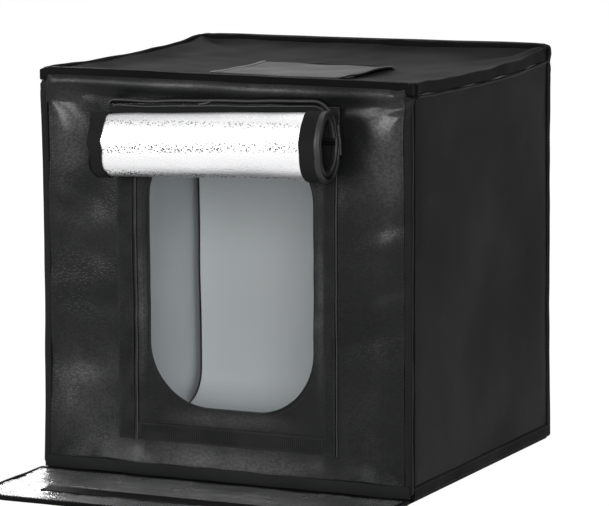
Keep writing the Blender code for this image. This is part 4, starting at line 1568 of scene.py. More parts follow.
            self.bench.add(name, shape, "edge_piping", "front_panel")
        lap = resample([(-0.022, 0.3745), (-0.014, 0.3758), (-0.008, 0.3785)], 0.002)
        shape = sweep(self.over_fold(lap, 0.0048), UP, FORWARD, soft_bar(0.0014, 0.0012, 0.0010))
        self.bench.add("flap_seam_lap", shape, "edge_piping", "front_panel")

    def build_header(self) -> None:
        """Builds the header band, its ends drawn down a little."""
        level = (self.header_low + self.header_high) / 2
        ends = ((-self.half_width + 0.0020, level), (self.half_width - 0.0002, level))
        line = np.linspace(*ends, 120)
        path = SLUMP.move(Plane.FRONT.lift(line, self.face + 0.0028))
        path = ruffle(path, 0.00025, 0.05, 41)
        shape = sweep(path, UP, FORWARD, soft_box((-0.0060, -0.0022), (0.0060, 0.0030), 0.0022))
        end = ramp(np.abs(shape.points[:, 0]) - 0.1935, 0.0045)
        above = np.maximum(shape.points[:, 2] - path.mean(0)[2] - 0.0010, 0)
        shape.points[:, 2] -= above * 0.35 * end**2
        self.bench.add("header_band", shape, "bound_tape", "front_header", ("front_header",))

    def build_folds(self) -> None:
        """Builds the folds of cloth that hinge the header to the panel and the top."""
        x = np.linspace(-self.fold_half_width, self.fold_half_width, 120)
        z = np.concatenate((np.linspace(self.fold_foot, 0.3885, 14), np.linspace(0.3893, 0.3971, 12)))
        flat = np.array([(across, up) for across in x for up in z])
        share = ramp(flat[:, 1] - self.fold_foot, 0.0100)
        face = self.relief(flat)
        proud = self.fold(flat[:, 1]) + 0.0004 * share * wander(flat, 0.05, 42)
        proud += face * (1 - share**2) + 0.0002
        end = ramp(self.fold_half_width - np.abs(flat[:, 0]), 0.0120)
        sewn = np.maximum(face, self.sewn_level) + 0.0005
        proud = sewn + (proud - sewn) * end * (2 - end)
        near = SLUMP.move(Plane.FRONT.lift(flat, self.face - proud))
        shape = close_sheet(near, near + 0.0009 * BACK, lattice(len(x), len(z)))
        bend = Bend("front_header", "front_panel", (0, self.face, 0.3950), (0, self.face, 0.3885))
        self.bench.add("header_fold", shape, "front_leathercloth", bend)
        ends = (-self.half_width + 0.0020, self.half_width - 0.0002)
        row = np.linspace(*ends, 120)[1:-1]
        path = np.column_stack((row, np.full(118, -0.1748), np.full(118, self.hinge_level)))
        section = soft_box((-0.0046, -0.0006), (0.0040, 0.0006), 0.0005)
        start, end = (0, -0.1775, self.hinge_level), (0, -0.1715, self.hinge_level)
        bend = Bend("front_header", "top_panel", start, end)
        self.bench.add("header_top_fold", sweep(SLUMP.move(path), BACK, UP, section), "bound_tape", bend)


# Window flap


@dataclass
class WindowFlap:
    """The window's flap, rolled up silver side out and bound along its edges."""

    bench: Bench
    left: float = -0.1190
    right: float = 0.1260
    length: float = 0.3220
    left_band: float = 0.0130
    right_band: float = 0.0205
    left_growth: float = 1.020
    right_growth: float = 1.12
    end_growth: float = 0.010
    end_reach: float = 0.012
    left_drop: float = -0.0068
    right_rise: float = 0.0050
    left_hang: float = 0.0068
    middle: Pair = (-0.2071, 0.3410)
    half_depth: float = 0.0235
    half_height: float = 0.0325
    pitch: float = 0.0052
    turns: float = 1.97
    top: float = 0.3780
    steps: int = 150
    flare: float = 0.0075
    foil_side: float = 0.0003
    hook_levels: Pair = (0.0006, 0.0016)
    cloth_levels: Pair = (-0.0016, -0.0006)

    def path(self, offset: float) -> Array:
        """Winds the roll, from the seam that it hangs from to its tail.

        Args:
            offset: how far outside its foil's middle the path runs.

        Returns:
            The path's points (y, z).
        """
        turn = np.linspace(0, self.turns, self.steps)
        drawn = offset - self.pitch * turn
        y = self.middle[0] + (self.half_depth + drawn) * np.cos(TAU * turn)
        z = self.middle[1] - (self.half_height + drawn) * np.sin(TAU * turn)
        start = self.middle[0] + self.half_depth + offset
        hang = np.linspace((start, self.top), (start, self.middle[1]), 10)[:-1]
        return np.vstack((hang, np.column_stack((y, z))))

    def surface(self, x: Array, offset: float, flare: float = 0.0) -> Array:
        """Lays the rolled sheet: wider to the right, flared at its left end, waved at its edges.

        Args:
            x: where its rows of points lie.
            offset: how far outside its foil's middle it runs.
            flare: how far its left end is drawn out.

        Returns:
            The rows of points, one for each x.
        """
        flat = self.path(offset)
        free = np.clip(np.linspace(-0.35, 2.2, len(flat)), 0, 1)
        away = (flat - np.array(self.middle)) * free[:, None]
        front = ramp(self.middle[0] - flat[:, 0], self.half_depth)
        rows = []
        for place in x:
            points = np.insert(flat, 0, place, axis=1)
            ends = swell(place - self.left, self.end_reach) + swell(self.right - place, self.end_reach)
            share = (place - self.left) / (self.right - self.left)
            grown = self.left_growth + (self.right_growth - self.left_growth) * share
            grown += self.end_growth * ends - 1
            points[:, 1:] += away * grown
            points[:, 1] -= self.half_depth * grown * free
            points[:, 2] += (self.left_drop + (self.right_rise - self.left_drop) * share) * free
            points[:, 2] -= max(self.left_hang - 0.041 * (place + 0.115), 0) * (1 - free)
            wave = (free * wander(points, 0.055, 51))[:, None]
            points[:, 1:] += 0.0005 * wave * np.sign(away)
            at_end = ramp(self.left + self.left_band - place, self.left_band)
            waved = (0.12 - 0.07 * share) * wander(flat, 0.018, 52)
            points[:, 0] -= flare * ((1 - front) * free * at_end + waved)
            rows.append(points)
        return np.array(rows)

    def sheet(self, x: Array, levels: Pair, flare: float = 0.0) -> Shape:
        """Returns the shell between an inner and an outer offset of the roll's path."""
        near, far = self.surface(x, levels[1], flare), self.surface(x, levels[0], flare)
        return close_sheet(near, far, lattice(near.shape[0], near.shape[1]))

    def build(self) -> None:
        """Builds the flap's two sheets, its hook tapes and its bindings."""
        shape = self.sheet(np.linspace(self.left, self.right, 50), (-self.foil_side, self.foil_side))
        foil = self.bench.add("flap_foil", shape, "roll_foil", "window_flap", ("window_flap_lining",))
        shape = self.sheet(np.linspace(self.left, self.right, 30), self.cloth_levels)
        nodes = ("window_flap_cover",)
        leather = self.bench.add("flap_leather", shape, "wall_leathercloth", "window_flap", nodes)
        going = []
        for name, start, end in (
            ("hook_left", self.left, self.left + self.left_band),
            ("hook_right", self.right - self.right_band, self.right),
        ):
            shape = self.sheet(np.linspace(start, end, 7), self.hook_levels, self.flare)
            nodes = (f"window_flap_{name}",)
            going.append(self.bench.add(f"flap_{name}", shape, "hook_tape", "window_flap", nodes))
        thin = soft_box((-0.0030, -0.0018), (0.0010, 0.0018), 0.0012)
        thick = soft_box((-0.0050, -0.0024), (0.0016, 0.0024), 0.0020)
        for name, place, outward, finish, section in (
            ("flap_edge_left", self.left, -RIGHT, "bound_tape", thin),
            ("flap_edge_right", self.right, RIGHT, "edge_piping", thick),
        ):
            path = self.surface(np.array([place]), -0.0002, self.flare)[0][4:]
            _, beside = smooth_path(path[:, 1:])
            shape = sweep(path, outward, np.insert(beside, 0, 0.0, axis=1), section)
            going.append(self.bench.add(name, shape, finish, "window_flap"))
        end = self.path(self.cloth_levels[1])[-1]
        tail = np.linspace((self.left, *end), (self.right, *end), 40)
        shape = sweep(tail, BACK, UP, soft_bar(0.0018, 0.0018, 0.0012))
        going.append(self.bench.add("flap_tail_edge", shape, "bound_tape", "window_flap"))
        flat, rests = (self.right - self.left, self.length), ["flap_seam_band"]
        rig.sheet(foil, flat=flat, held="hung", rests_on=rests, with_pieces=going)
        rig.sheet(leather, flat=flat, held="hung", rests_on=rests)


# Side walls


@dataclass
class SideWall:
    """A side wall: two boards under one sheet of leathercloth that folds at the crease."""

    bench: Bench
    name: str
    side: int
    bottom: float = 0.0153
    crease: float = 0.2035
    top: float = 0.3917
    half_depth: float = 0.1745
    outer: float = 0.2000
    inner: float = 0.1948
    bend_zone: float = 0.0110
    spacing: float = 0.0050
    board_spacing: float = 0.0120
    hinge_reach: float = 0.0080
    foot_level: float = 0.0150
    head_level: float = 0.3920

    def relief(self, flat: Array) -> Array:
        """Shapes the cover: sunk at its edges and along the crease.

        Args:
            flat: points (y, z) on the wall.

        Returns:
            How far each stands out.
        """
        y, z = flat.T
        edge = np.minimum(self.half_depth - np.abs(y), np.minimum(z - self.bottom, self.top - z))
        height = 0.0006 - 0.0012 * swell(np.maximum(edge, 0), 0.012, SOFT_EDGE_POWER)
        height += 0.0004 * wander(flat, 0.16, 61 + self.side)
        return height - 0.0004 * swell(z - self.crease, 0.004)

    def bend(self) -> Bend:
        """Finds the bend across the wall's crease.

        Returns:
            The bend from the lower half to the upper one.
        """
        x = self.side * self.outer
        start, end = (x, 0.0, self.crease - self.bend_zone), (x, 0.0, self.crease + self.bend_zone)
        return Bend(f"{self.name}_lower", f"{self.name}_upper", start, end)

    def build(self) -> None:
        """Builds the wall's cover, lining, boards, bound ends and hinge tapes."""
        low, high = (-self.half_depth, self.bottom), (self.half_depth, self.top)
        outer, inner, side, bend = self.outer, self.inner, self.side, self.bend()
        for part, node, near, far, finish, relief in (
            ("leather", "cover", outer, outer - COVER, "wall_leathercloth", self.relief),
            ("foil", "lining", inner, inner + 0.0006, "wall_foil", None),
        ):
            nodes = (f"{self.name}_lower_{node}", f"{self.name}_upper_{node}")
            name = f"{self.name}_{part}"
            layer = Layer(name, "", low, high, side * near, side * far, finish, self.spacing)
            build_layer(self.bench, Plane.SIDE, layer, bend, None, relief, nodes, side)
        near, far = side * (outer - BOARD_NEAR), side * (outer - BOARD_FAR)
        for half, start, end in (
            ("lower", self.bottom + 0.001, self.crease - 0.001),
            ("upper", self.crease + 0.001, self.top - 0.002),
        ):
            name = f"{self.name}_{half}"
            low, high = (0.003 - self.half_depth, start), (self.half_depth - 0.003, end)
            layer = Layer(
                f"{name}_stiffener", f"{name}_board", low, high, near, far, "stiff_board", self.board_spacing
            )
            build_layer(self.bench, Plane.SIDE, layer, name, None, self.relief, (), side, True)
        self.build_ends(bend)
        self.build_piping()
        self.build_hinges()

    def build_ends(self, bend: Bend) -> None:
        """Builds the bound ends of the wall at the front and the back, with their stitches.

        Args:
            bend: the bend across the wall's crease.
        """
        z = np.linspace(self.bottom, self.top, 160)
        x = np.full(len(z), self.side * (self.outer + self.inner) / 2)
        section = soft_box((-0.0032, -0.0024), (0.0032, 0.0016), 0.0012)
        for label, end in (("front", -1), ("back", 1)):
            y = np.full(len(z), end * (self.half_depth - 0.0014))
            path = SLUMP.move(np.column_stack((x, y, z)))
            path = ruffle(path, 0.00016, 0.04, 71 + self.side + end)
            shape = sweep(path, RIGHT, end * BACK, section)
            self.bench.add(f"{self.name}_{label}_edge", shape, "bound_tape", bend)
            row = np.column_stack((np.full(len(z), end * (self.half_depth - 0.0062)), z))
            level = self.side * (self.outer + self.relief(row) + 0.0001)
            path = SLUMP.move(Plane.SIDE.lift(row, level))
            self.bench.stitch(f"{self.name}_{label}_stitches", [path], bend)

    def build_piping(self) -> None:
        """Builds the piping along the wall's head."""
        level = self.top - 0.0016
        row = np.linspace((0.0030 - self.half_depth, level), (self.half_depth - 0.0030, level), 110)
        path = SLUMP.move(Plane.SIDE.lift(row, self.side * (self.outer + 0.0001)))
        path = ruffle(path, 0.0003, 0.04, 75 + self.side)
        shape = sweep(path, RIGHT, UP, soft_box((-0.0010, -0.0012), (0.0010, 0.0010), 0.0009))
        self.bench.add(f"{self.name}_head_piping", shape, "front_tape", f"{self.name}_upper")

    def build_hinges(self) -> None:
        """Builds the cloth tapes inside, along the wall's foot and its head."""
        reach, side = self.hinge_reach, self.side
        y = np.linspace(0.002 - self.half_depth, self.half_depth - 0.002, 60)
        x = side * (self.inner - 0.0002)
        for label, fixed, moving, level, up in (
            ("foot", "base", f"{self.name}_lower", self.foot_level, 1),
            ("head", "top_panel", f"{self.name}_upper", self.head_level, -1),
        ):
            run = [(x - side * reach, level + up * 0.0002), (x - side * 0.0008, level + up * 0.0002)]
            if label == "head" and side > 0:
                run = []
            run += [(x - side * 0.0002, level + up * 0.0008), (x - side * 0.0002, level + up * reach)]
            flat = resample(run, 0.0008)
            near = extrude(flat, y, 1)
            away = np.array((-side * 0.0003, 0.0, up * 0.0003))
            faces = lattice(len(y), len(flat))
            near, far = near.reshape(-1, 3), (near + away).reshape(-1, 3)
            shape = close_sheet(SLUMP.move(near), SLUMP.move(far), faces)
            start = (x - side * 0.0012, 0.0, level)
            end = (x - side * 0.0002, 0.0, level + up * 0.0018)
            body: str | Bend = Bend(fixed, moving, start, end)
            if label == "head":
                body = Bend(moving, fixed, end, start) if side < 0 else moving
            self.bench.add(f"{self.name}_{label}_tape", shape, "wall_foil", body)


# Top


@dataclass
class TopPanel:
    """The top: a sagging panel with its rim, window and flap, and the lamps hung inside."""

    bench: Bench
    half_width: float = 0.2000
    half_depth: float = 0.1745
    cut: Pair = (0.1960, 0.1705)
    low: float = 0.3920
    high: float = 0.4040
    face: float = 0.3972
    border: float = 0.0043
    deepest: float = -0.0022
    window: Hole = Hole((-0.0530, -0.0680), (0.0690, 0.0380), 0.0200)
    corner_radius: float = 0.0048
    flap_low: Pair = (-0.0650, -0.0800)
    flap_high: Pair = (0.0810, 0.0500)
    flap_radii: Band = (0.008, 0.004, 0.004, 0.008)
    flap_border: float = 0.0046
    flap_spacing: float = 0.0040
    seam_line: float = 0.0407
    loop_width: float = 0.0090
    lamp_half_length: float = 0.1500
    lamp_half_width: float = 0.0070
    lamp_places: tuple[tuple[str, float], ...] = (("front", -0.1145), ("back", 0.0895))
    chip_pitch: float = 0.0098
    rail_half_length: float = 0.1400
    rail_place: Pair = (0.1495, 0.39045)
    socket_place: Point = (0.0550, 0.1585, 0.3868)
    socket_radius: float = 0.0029

    def relief(self, flat: Array) -> Array:
        """Shapes the cover: creased at its corners, climbing to its rim, calm round the window.

        Args:
            flat: points (x, y) on the top.

        Returns:
            How far each stands up.
        """
        x, y = flat.T
        height = 0.0007 * wander(flat, 0.11, 81) + 0.0003 * wander(flat, 0.04, 82)
        for side, end in CORNERS:
            away_x, away_y = self.half_width - side * x, self.half_depth - end * y
            reach = np.hypot(away_x, away_y)
            fan = np.cos(6.0 * np.arctan2(away_y, away_x))
            height += 0.0022 * fan * swell(reach, 0.08) * ramp(reach, 0.03)
        calm = swell(x - 0.008, 0.075, 4) * swell(y + 0.015, 0.070, 4)
        climb = 0.0050 * swell(self.cut[0] - np.abs(x), 0.016)
        climb = np.maximum(climb, 0.0016 * swell(self.cut[1] - np.abs(y), 0.010))
        return np.maximum(height * (1 - calm), self.deepest) + climb

    def build(self) -> None:
        """Builds the top's layers, rim, flap and lamps."""
        low = (-self.cut[0], -self.cut[1])
        stack = Stack(
            "top", Plane.TOP, low, self.cut, self.face, 1, "top_leathercloth", 0.005, 26, self.window
        )
        stack.build(self.bench, self.relief)
        self.build_window_edge()
        self.build_rim()
        self.build_flap()
        self.build_flap_tapes()
        self.build_lamps()
        self.build_fittings()

    def build_window_edge(self) -> None:
        """Builds the turned edge of the top window."""
        face, low, window = self.face, self.low, self.window
        lip = (
            (-0.0022, face + 0.0002), (-0.0014, face + 0.0004), (0.0005, face + 0.0002),
            (0.0007, face - 0.0026), (0.0005, low - 0.0003), (-0.0014, low - 0.0005),
            (-0.0022, low - 0.0003), (-0.0004, low + 0.0003), (-0.0004, face - 0.0003),
        )
        shape = rim(Plane.TOP, window.low, window.high, (window.radius,) * 4, np.array(lip))
        self.bench.add("top_window_edge", settled(shape), "bound_tape", "top_panel")

    def build_rim(self) -> None:
        """Builds the bound rim round the top, bunched at its corners, and its stitches."""
        low, high = (-self.half_width, -self.half_depth), (self.half_width, self.half_depth)
        section = soft_box((0.0, self.low + 0.0001), (self.border, self.high), 0.0020)
        shape = rim(Plane.TOP, low, high, (RIM_CORNER,) * 4, section)
        shape.points = SLUMP.move(ruffle(shape.points, 0.00042, 0.035, 91))
        self.bench.add("top_bound_rim", shape, "bound_tape", "top_panel", ("top_binding",))
        for side, end in CORNERS:
            self.build_corner(side, end)
        seam = outline(low, high, (RIM_CORNER,) * 4, self.border + 0.0024)
        path = SLUMP.move(Plane.TOP.lift(seam, self.face + 0.0002 + self.relief(seam)))
        self.bench.stitch("top_rim_stitches", [path], "top_panel", True)

    def build_corner(self, side: int, end: int) -> None:
        """Builds the folded tuck of binding at one corner of the rim.

        Args:
            side: 1 on the right, -1 on the left.
            end: 1 at the back, -1 at the front.
        """
        angle = np.linspace(0, math.pi / 2, 14)
        way = np.column_stack((side * np.sin(angle), end * np.cos(angle), np.zeros(14)))
        middle = (side * (self.half_width - 0.0050), end * (self.half_depth - 0.0050), self.high - 0.0060)
        path = SLUMP.move(np.array(middle) + self.corner_radius * way)
        path += np.array((side * 0.0002, end * 0.0002, 0.0))
        section = soft_box((-0.0030, -0.0052 if end > 0 else -0.0092), (0.0006, 0.0056), 0.0017)
        shape = sweep(path, way, UP, section)
        shape.points = ruffle(shape.points, 0.0005, 0.010, 95 + side + 2 * end)
        place = ("back" if end > 0 else "front") + ("_right" if side > 0 else "_left")
        self.bench.add(f"top_corner_{place}", shape, "bound_tape", "top_panel")

    def flap_relief(self, flat: Array) -> Array:
        """Shapes the flap, which curls up along its right edge.

        Args:
            flat: points (x, y) on the top.

        Returns:
            How far the flap stands up at each.
        """
        x, y = flat.T
        curl = ramp(x - 0.060, 0.021) ** 2 * ramp(0.049 - y, 0.020)
        return 0.0004 * wander(flat, 0.05, 101) + 0.0026 * curl * ramp(y + 0.080, 0.050)

    def build_flap(self) -> None:
        """Builds the flap over the top window, with its bound edge and stitches."""
        low, high = np.array(self.flap_low), np.array(self.flap_high)
        for part, node, near, far, finish in (
            ("leather", "cover", 0.4009, 0.3997, "flap_leathercloth"),
            ("foil", "lining", 0.3989, 0.3993, "wall_foil"),
        ):
            name, node = f"top_flap_{part}", f"top_flap_{node}"
            layer = Layer(name, node, low + 0.0030, high - 0.0030, near, far, finish, self.flap_spacing)
            build_layer(self.bench, Plane.TOP, layer, "top_flap", None, self.flap_relief)
        section = soft_box((0.0, 0.3987), (self.flap_border, 0.4012), 0.0009)
        shape = rim(Plane.TOP, low, high, self.flap_radii, section)
        shape.points[:, 2] += self.flap_relief(shape.points[:, :2])
        shape.points = SLUMP.move(ruffle(shape.points, 0.0002, 0.04, 103))
        self.bench.add("top_flap_edge", shape, "edge_piping", "top_flap", ("top_flap_binding",))
        seam = outline(low, high, self.flap_radii, self.flap_border + 0.0022)
        path = SLUMP.move(Plane.TOP.lift(seam, 0.4011 + self.flap_relief(seam)))
        self.bench.stitch("top_flap_stitches", [path], "top_flap", True, 0.0034)

    def build_flap_tapes(self) -> None:
        """Builds the flap's seam, the loop tapes beside the window and the cloth hinge."""
        low, high, line = self.flap_low, self.flap_high, self.seam_line
        for name, start, end, finish, node in (
            ("top_flap_seam", (low[0], line + 0.0003), high, "bound_tape", "top_flap_seam_tape"),
            ("top_loop_left", low, (low[0] + self.loop_width, line), "loop_tape", "top_window_loop_left"),
            (
                "top_loop_right", (high[0] - self.loop_width, low[1]), (high[0], line),
                "loop_tape", "top_window_loop_right",
            ),
        ):
            layer = Layer(name, node, start, end, 0.3984, 0.3974, finish, self.flap_spacing)
            build_layer(self.bench, Plane.TOP, layer, "top_panel")
        hinge = np.linspace((low[0] + 0.004, high[1], 0.4001), (high[0] - 0.004, high[1], 0.4001), 40)
        shape = sweep(SLUMP.move(hinge), BACK, UP, soft_box((-0.0040, -0.0012), (0.0026, 0.0014), 0.0010))
        bend = Bend("top_panel", "top_flap", (0, high[1] + 0.0022, 0.4), (0, high[1] - 0.0030, 0.4))
        self.bench.add("top_flap_hinge", shape, "bound_tape", bend)

    def build_lamps(self) -> None:
        """Builds the two lamp strips with their chips and solder pads."""
        half = self.lamp_half_length
        chip = {"Pitch": self.chip_pitch, "Length": 0.0035, "Width": 0.0009, "Height": 0.0028}
        pad = {"Pitch": self.chip_pitch / 2, "Length": 0.0018, "Width": 0.0004, "Height": 0.0014}
        for label, y in self.lamp_places:
            lines = [
                SLUMP.move(np.linspace((-half, y, level), (half, y, level), 60))
                for level in (0.3896, 0.3912, 0.38850)
            ]
            shape = sweep(lines[0], BACK, UP, soft_bar(self.lamp_half_width, 0.0008, 0.0003))
            nodes = (f"lamp_strip_{label}",)
            self.bench.add(f"lamp_{label}_board", shape, "lamp_board", "top_panel", nodes, True)
            shape = sweep(lines[1], BACK, UP, soft_bar(0.005, 0.0006, 0.0003))
            nodes = (f"lamp_pad_{label}",)
            self.bench.add(f"lamp_{label}_backing", shape, "hook_tape", "top_panel", nodes)
            row = lines[2][1:-1]
            name = f"lamp_{label}_chips"
            self.bench.repeat(name, Unit.CHIP, [row], "lamp_chip", "top_panel", chip)
            row = row + np.array((0.0, 0.0048, 0.00022))
            self.bench.repeat(f"lamp_{label}_solder", Unit.CHIP, [row], "solder", "top_panel", pad)

    def build_fittings(self) -> None:
        """Builds the lead, the socket and its ring, and the backdrop's rail."""
        self.copy_node("lamp_wire", "lamp_lead", "lead_jacket")
        self.copy_node("socket_housing", "power_socket", "moulded_rubber")
        half, radius = self.rail_half_length, self.socket_radius
        line = SLUMP.move(np.linspace((-half, *self.rail_place), (half, *self.rail_place), 50))
        shape = sweep(line, BACK, UP, soft_bar(0.005, 0.00125, 0.0004))
        self.bench.add("backdrop_strip", shape, "hook_tape", "top_panel", ("backdrop_rail",))
        turn = np.linspace(0, TAU, 25)[:-1]
        way = np.column_stack((np.cos(turn), np.zeros(24), np.sin(turn)))
        path = SLUMP.move(np.array(self.socket_place) + radius * way)
        section = soft_box((-0.0006, -0.0012), (0.0009, 0.0006), 0.0003)
        self.bench.add("socket_ring", sweep(path, way, FORWARD, section, True), "solder", "top_panel")

    def copy_node(self, name: str, node: str, finish: str) -> None:
        """Stands a settled copy of a frame's node in its place.

        Args:
            name: the copy's name.
            node: the node's name.
            finish: the name of the copy's finish.
        """
        shape = bmesh.new()
        shape.from_mesh(frame["nodes"][node].data)
        bmesh.ops.remove_doubles(shape, verts=shape.verts, dist=0.00001)
        moved = SLUMP.move(np.array([vertex.co for vertex in shape.verts]))
        for vertex, place in zip(shape.verts, moved):
            vertex.co = place
        mesh = bpy.data.meshes.new(name)
        shape.to_mesh(mesh)
        shape.free()
        mesh.shade_smooth()
        mesh.set_sharp_from_angle(angle=self.bench.sharp_angle)
        self.bench.add(name, mesh, finish, "top_panel", (node,))


# Back, base and apron


@dataclass
class BackPanel:
    """The back panel with its bound edge and cable port."""

    bench: Bench
    face: float = 0.1800
    low: Pair = (-0.2000, 0.0003)
    high: Pair = (0.2000, 0.4040)
    cut_low: Pair = (-0.1945, 0.0058)
    cut_high: Pair = (0.1945, 0.3985)
    border: float = 0.0060
    thickness: float = 0.0052
    port: Hole = Hole((0.0470, 0.3477), (0.0630, 0.3637), 0.00795)
    port_middle: Pair = (0.0550, 0.3557)
    tape_half_length: float = 0.1940

    def relief(self, flat: Array) -> Array:
        """Shapes the cover: sunk at its edges, flat round the cable port.

        Args:
            flat: points (x, z) on the panel.

        Returns:
            How far each stands out.
        """
        x, z = flat.T
        edge = np.minimum(0.194 - np.abs(x), np.minimum(z - 0.0066, 0.3977 - z))
        height = 0.0008 - 0.0016 * swell(np.maximum(edge, 0), 0.012, SOFT_EDGE_POWER)
        height += 0.0005 * wander(flat, 0.10, 111) + 0.00025 * wander(flat, 0.04, 112)
        return height * ramp(np.hypot(x - self.port_middle[0], z - self.port_middle[1]) - 0.014, 0.02)

    def build(self) -> None:
        """Builds the panel's layers, edge, stitches and hinge tape."""
        stack = Stack(
            "back", Plane.FRONT, self.cut_low, self.cut_high, self.face, 1,
            "wall_leathercloth", 0.005, 30, self.port,
        )
        stack.build(self.bench, self.relief)
        section = soft_box((0.0, self.face), (self.border, self.face - self.thickness), 0.0017)
        shape = rim(Plane.FRONT, self.low, self.high, (PANEL_CORNER,) * 4, section)
        shape.points = SLUMP.move(ruffle(shape.points, 0.0002, 0.045, 121))
        shape.points[:, 2] = np.maximum(shape.points[:, 2], 0.0)
        self.bench.add("back_bound_edge", shape, "bound_tape", "back_panel", ("back_binding",))
        seam = outline(self.low, self.high, (PANEL_CORNER,) * 4, self.border + 0.0022)
        path = SLUMP.move(Plane.FRONT.lift(seam, self.face + 0.0001 + self.relief(seam)))
        self.bench.stitch("back_edge_stitches", [path], "back_panel", True)
        flat = resample([(0.1640, 0.0004), (0.1795, 0.0004), (0.1803, 0.0012), (0.1803, 0.0090)], 0.0010)
        x = np.linspace(-self.tape_half_length, self.tape_half_length, 50)
        near = extrude(flat, x)
        shape = close_sheet(near, near + np.array((0.0, -0.0003, 0.0003)), lattice(len(x), len(flat)))
        bend = Bend("base", "back_panel", (0.0, 0.1765, 0.0), (0.0, 0.1803, 0.0036))
        self.bench.add("back_hinge_tape", shape, "bound_tape", bend)


@dataclass
class Base:
    """The base: a padded slab with a bound rim, and the backdrop that sweeps over it."""

    bench: Bench
    half_width: float = 0.2000
    half_depth: float = 0.1745
    height: float = 0.0150
    border: float = 0.0043
    cut: Pair = (0.1960, 0.1705)
    cover_low: Pair = (-0.1985, -0.1842)
    cover_high: Pair = (0.1985, 0.1730)
    pad_level: float = 0.0093
    pad_half_length: float = 0.1955
    pad_half_depth: float = 0.1700
    pad_half_height: float = 0.0046
    stitch_levels: Pair = (0.0040, 0.0125)
    backdrop_half_width: float = 0.1880
    backdrop_back: float = 0.1495
    backdrop_front: float = -0.1505
    backdrop_top: float = 0.3889
    backdrop_floor: float = 0.0157
    sweep_radius: float = 0.0350
    cloth_half: float = 0.0004

    def build(self) -> None:
        """Builds the base's layers, rim and backdrop."""
        foil = self.height, self.height - 0.0006
        for part, node, low, high, near, far, finish in (
            ("leather", "cover", self.cover_low, self.cover_high, 0.0, COVER, "wall_leathercloth"),
            ("foil", "lining", (-self.cut[0], -self.cut[1]), self.cut, *foil, "wall_foil"),
        ):
            layer = Layer(f"base_{part}", f"base_{node}", low, high, near, far, finish)
            build_layer(self.bench, Plane.TOP, layer, "base")
        half, level = self.pad_half_length, self.pad_level
        line = np.linspace((-half, 0.0, level), (half, 0.0, level), 60)
        pad = sweep(line, BACK, UP, soft_bar(self.pad_half_depth, self.pad_half_height, 0.0012))
        pad.points = ruffle(pad.points, 0.0001, 0.02, 131)
        foam = self.bench.add("base_padding", pad, "foam", "base", ("base_foam_pad",))
        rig.padded(foam, fill=1.0)
        self.bench.dress("base_board", "stiff_board")
        low, high = (-self.half_width, -self.half_depth), (self.half_width, self.half_depth)
        section = soft_box((0.0, 0.0003), (self.border, self.height + 0.0001), 0.0018)
        shape = rim(Plane.TOP, low, high, (RIM_CORNER,) * 4, section)
        shape.points = ruffle(shape.points, 0.0002, 0.045, 141)
        self.bench.add("base_bound_rim", shape, "bound_tape", "base", ("base_binding",))
        seam = outline(low, high, (RIM_CORNER,) * 4, -0.0002)
        rows = [Plane.TOP.lift(seam, level) for level in self.stitch_levels]
        self.bench.stitch("base_rim_stitches", rows, "base", True)
        self.build_backdrop()

    def build_backdrop(self) -> None:
        """Builds the backdrop: hung at the back, swept forward over the base."""
        radius, floor, top = self.sweep_radius, self.backdrop_floor, self.backdrop_top
        angle = np.linspace(0, math.pi / 2, 16)
        bend_y = self.backdrop_back - radius * (1 - np.cos(angle))
        bend_z = floor + radius * (1 - np.sin(angle))
        bend = np.column_stack((bend_y, bend_z))
        run = np.vstack(((self.backdrop_back, top), bend, (self.backdrop_front, floor)))
        flat = resample(run, 0.0050)
        _, normal = smooth_path(flat)
        x = np.linspace(-self.backdrop_half_width, self.backdrop_half_width, 60)
        sides = []
        for offset in (self.cloth_half, -self.cloth_half):
            points = extrude(flat + normal * offset, x)
            hung = ramp(points[..., 2] - 0.06, 0.1) * ramp(top - points[..., 2], 0.05)
            wave = wander(points[:, :, (0, 2)].reshape(-1, 2), 0.17, 151).reshape(hung.shape)
            curl = ramp(np.abs(points[..., 0]) - 0.15, 0.038) ** 2
            points[..., 1] += hung * (0.0012 * wave - 0.0030 * curl)
            points[..., 2] -= 0.0008 * np.clip(points[..., 2] - 0.1, 0, None) / (top - 0.1)
            sides.append(points.reshape(-1, 3))
        shape = close_sheet(sides[0], sides[1], lattice(len(x), len(flat)))
        piece = self.bench.add("backdrop_sweep", shape, "backdrop_sheet", "base", ("backdrop",))
        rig.sheet(piece, flat=(0.376, 0.658), held="hung", rests_on=["backdrop_strip", "base_foil"])
        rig.squash(piece, "side_walls_fold", axis=(0, 0, 1), anchor=(0, 0, self.backdrop_floor), keep=0.012)
        # Dark bound edges down the backdrop's sides: partly the backdrop's own binding, partly painted shade for the
        # shaded gap between the backdrop and the walls.
        up = np.insert(normal, 0, 0.0, axis=1)
        section = soft_box((-0.0011, -0.0007), (0.0009, 0.0007), 0.0005)
        middle = ((sides[0] + sides[1]) / 2).reshape(len(x), len(flat), 3)
        for label, path in (("left", middle[0]), ("right", middle[-1])):
            shape = sweep(path, RIGHT, up, section)
            edge = self.bench.add(f"backdrop_{label}_edge", shape, "edge_piping", "base")
            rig.squash(edge, "side_walls_fold", axis=(0, 0, 1), anchor=(0, 0, self.backdrop_floor), keep=0.012)


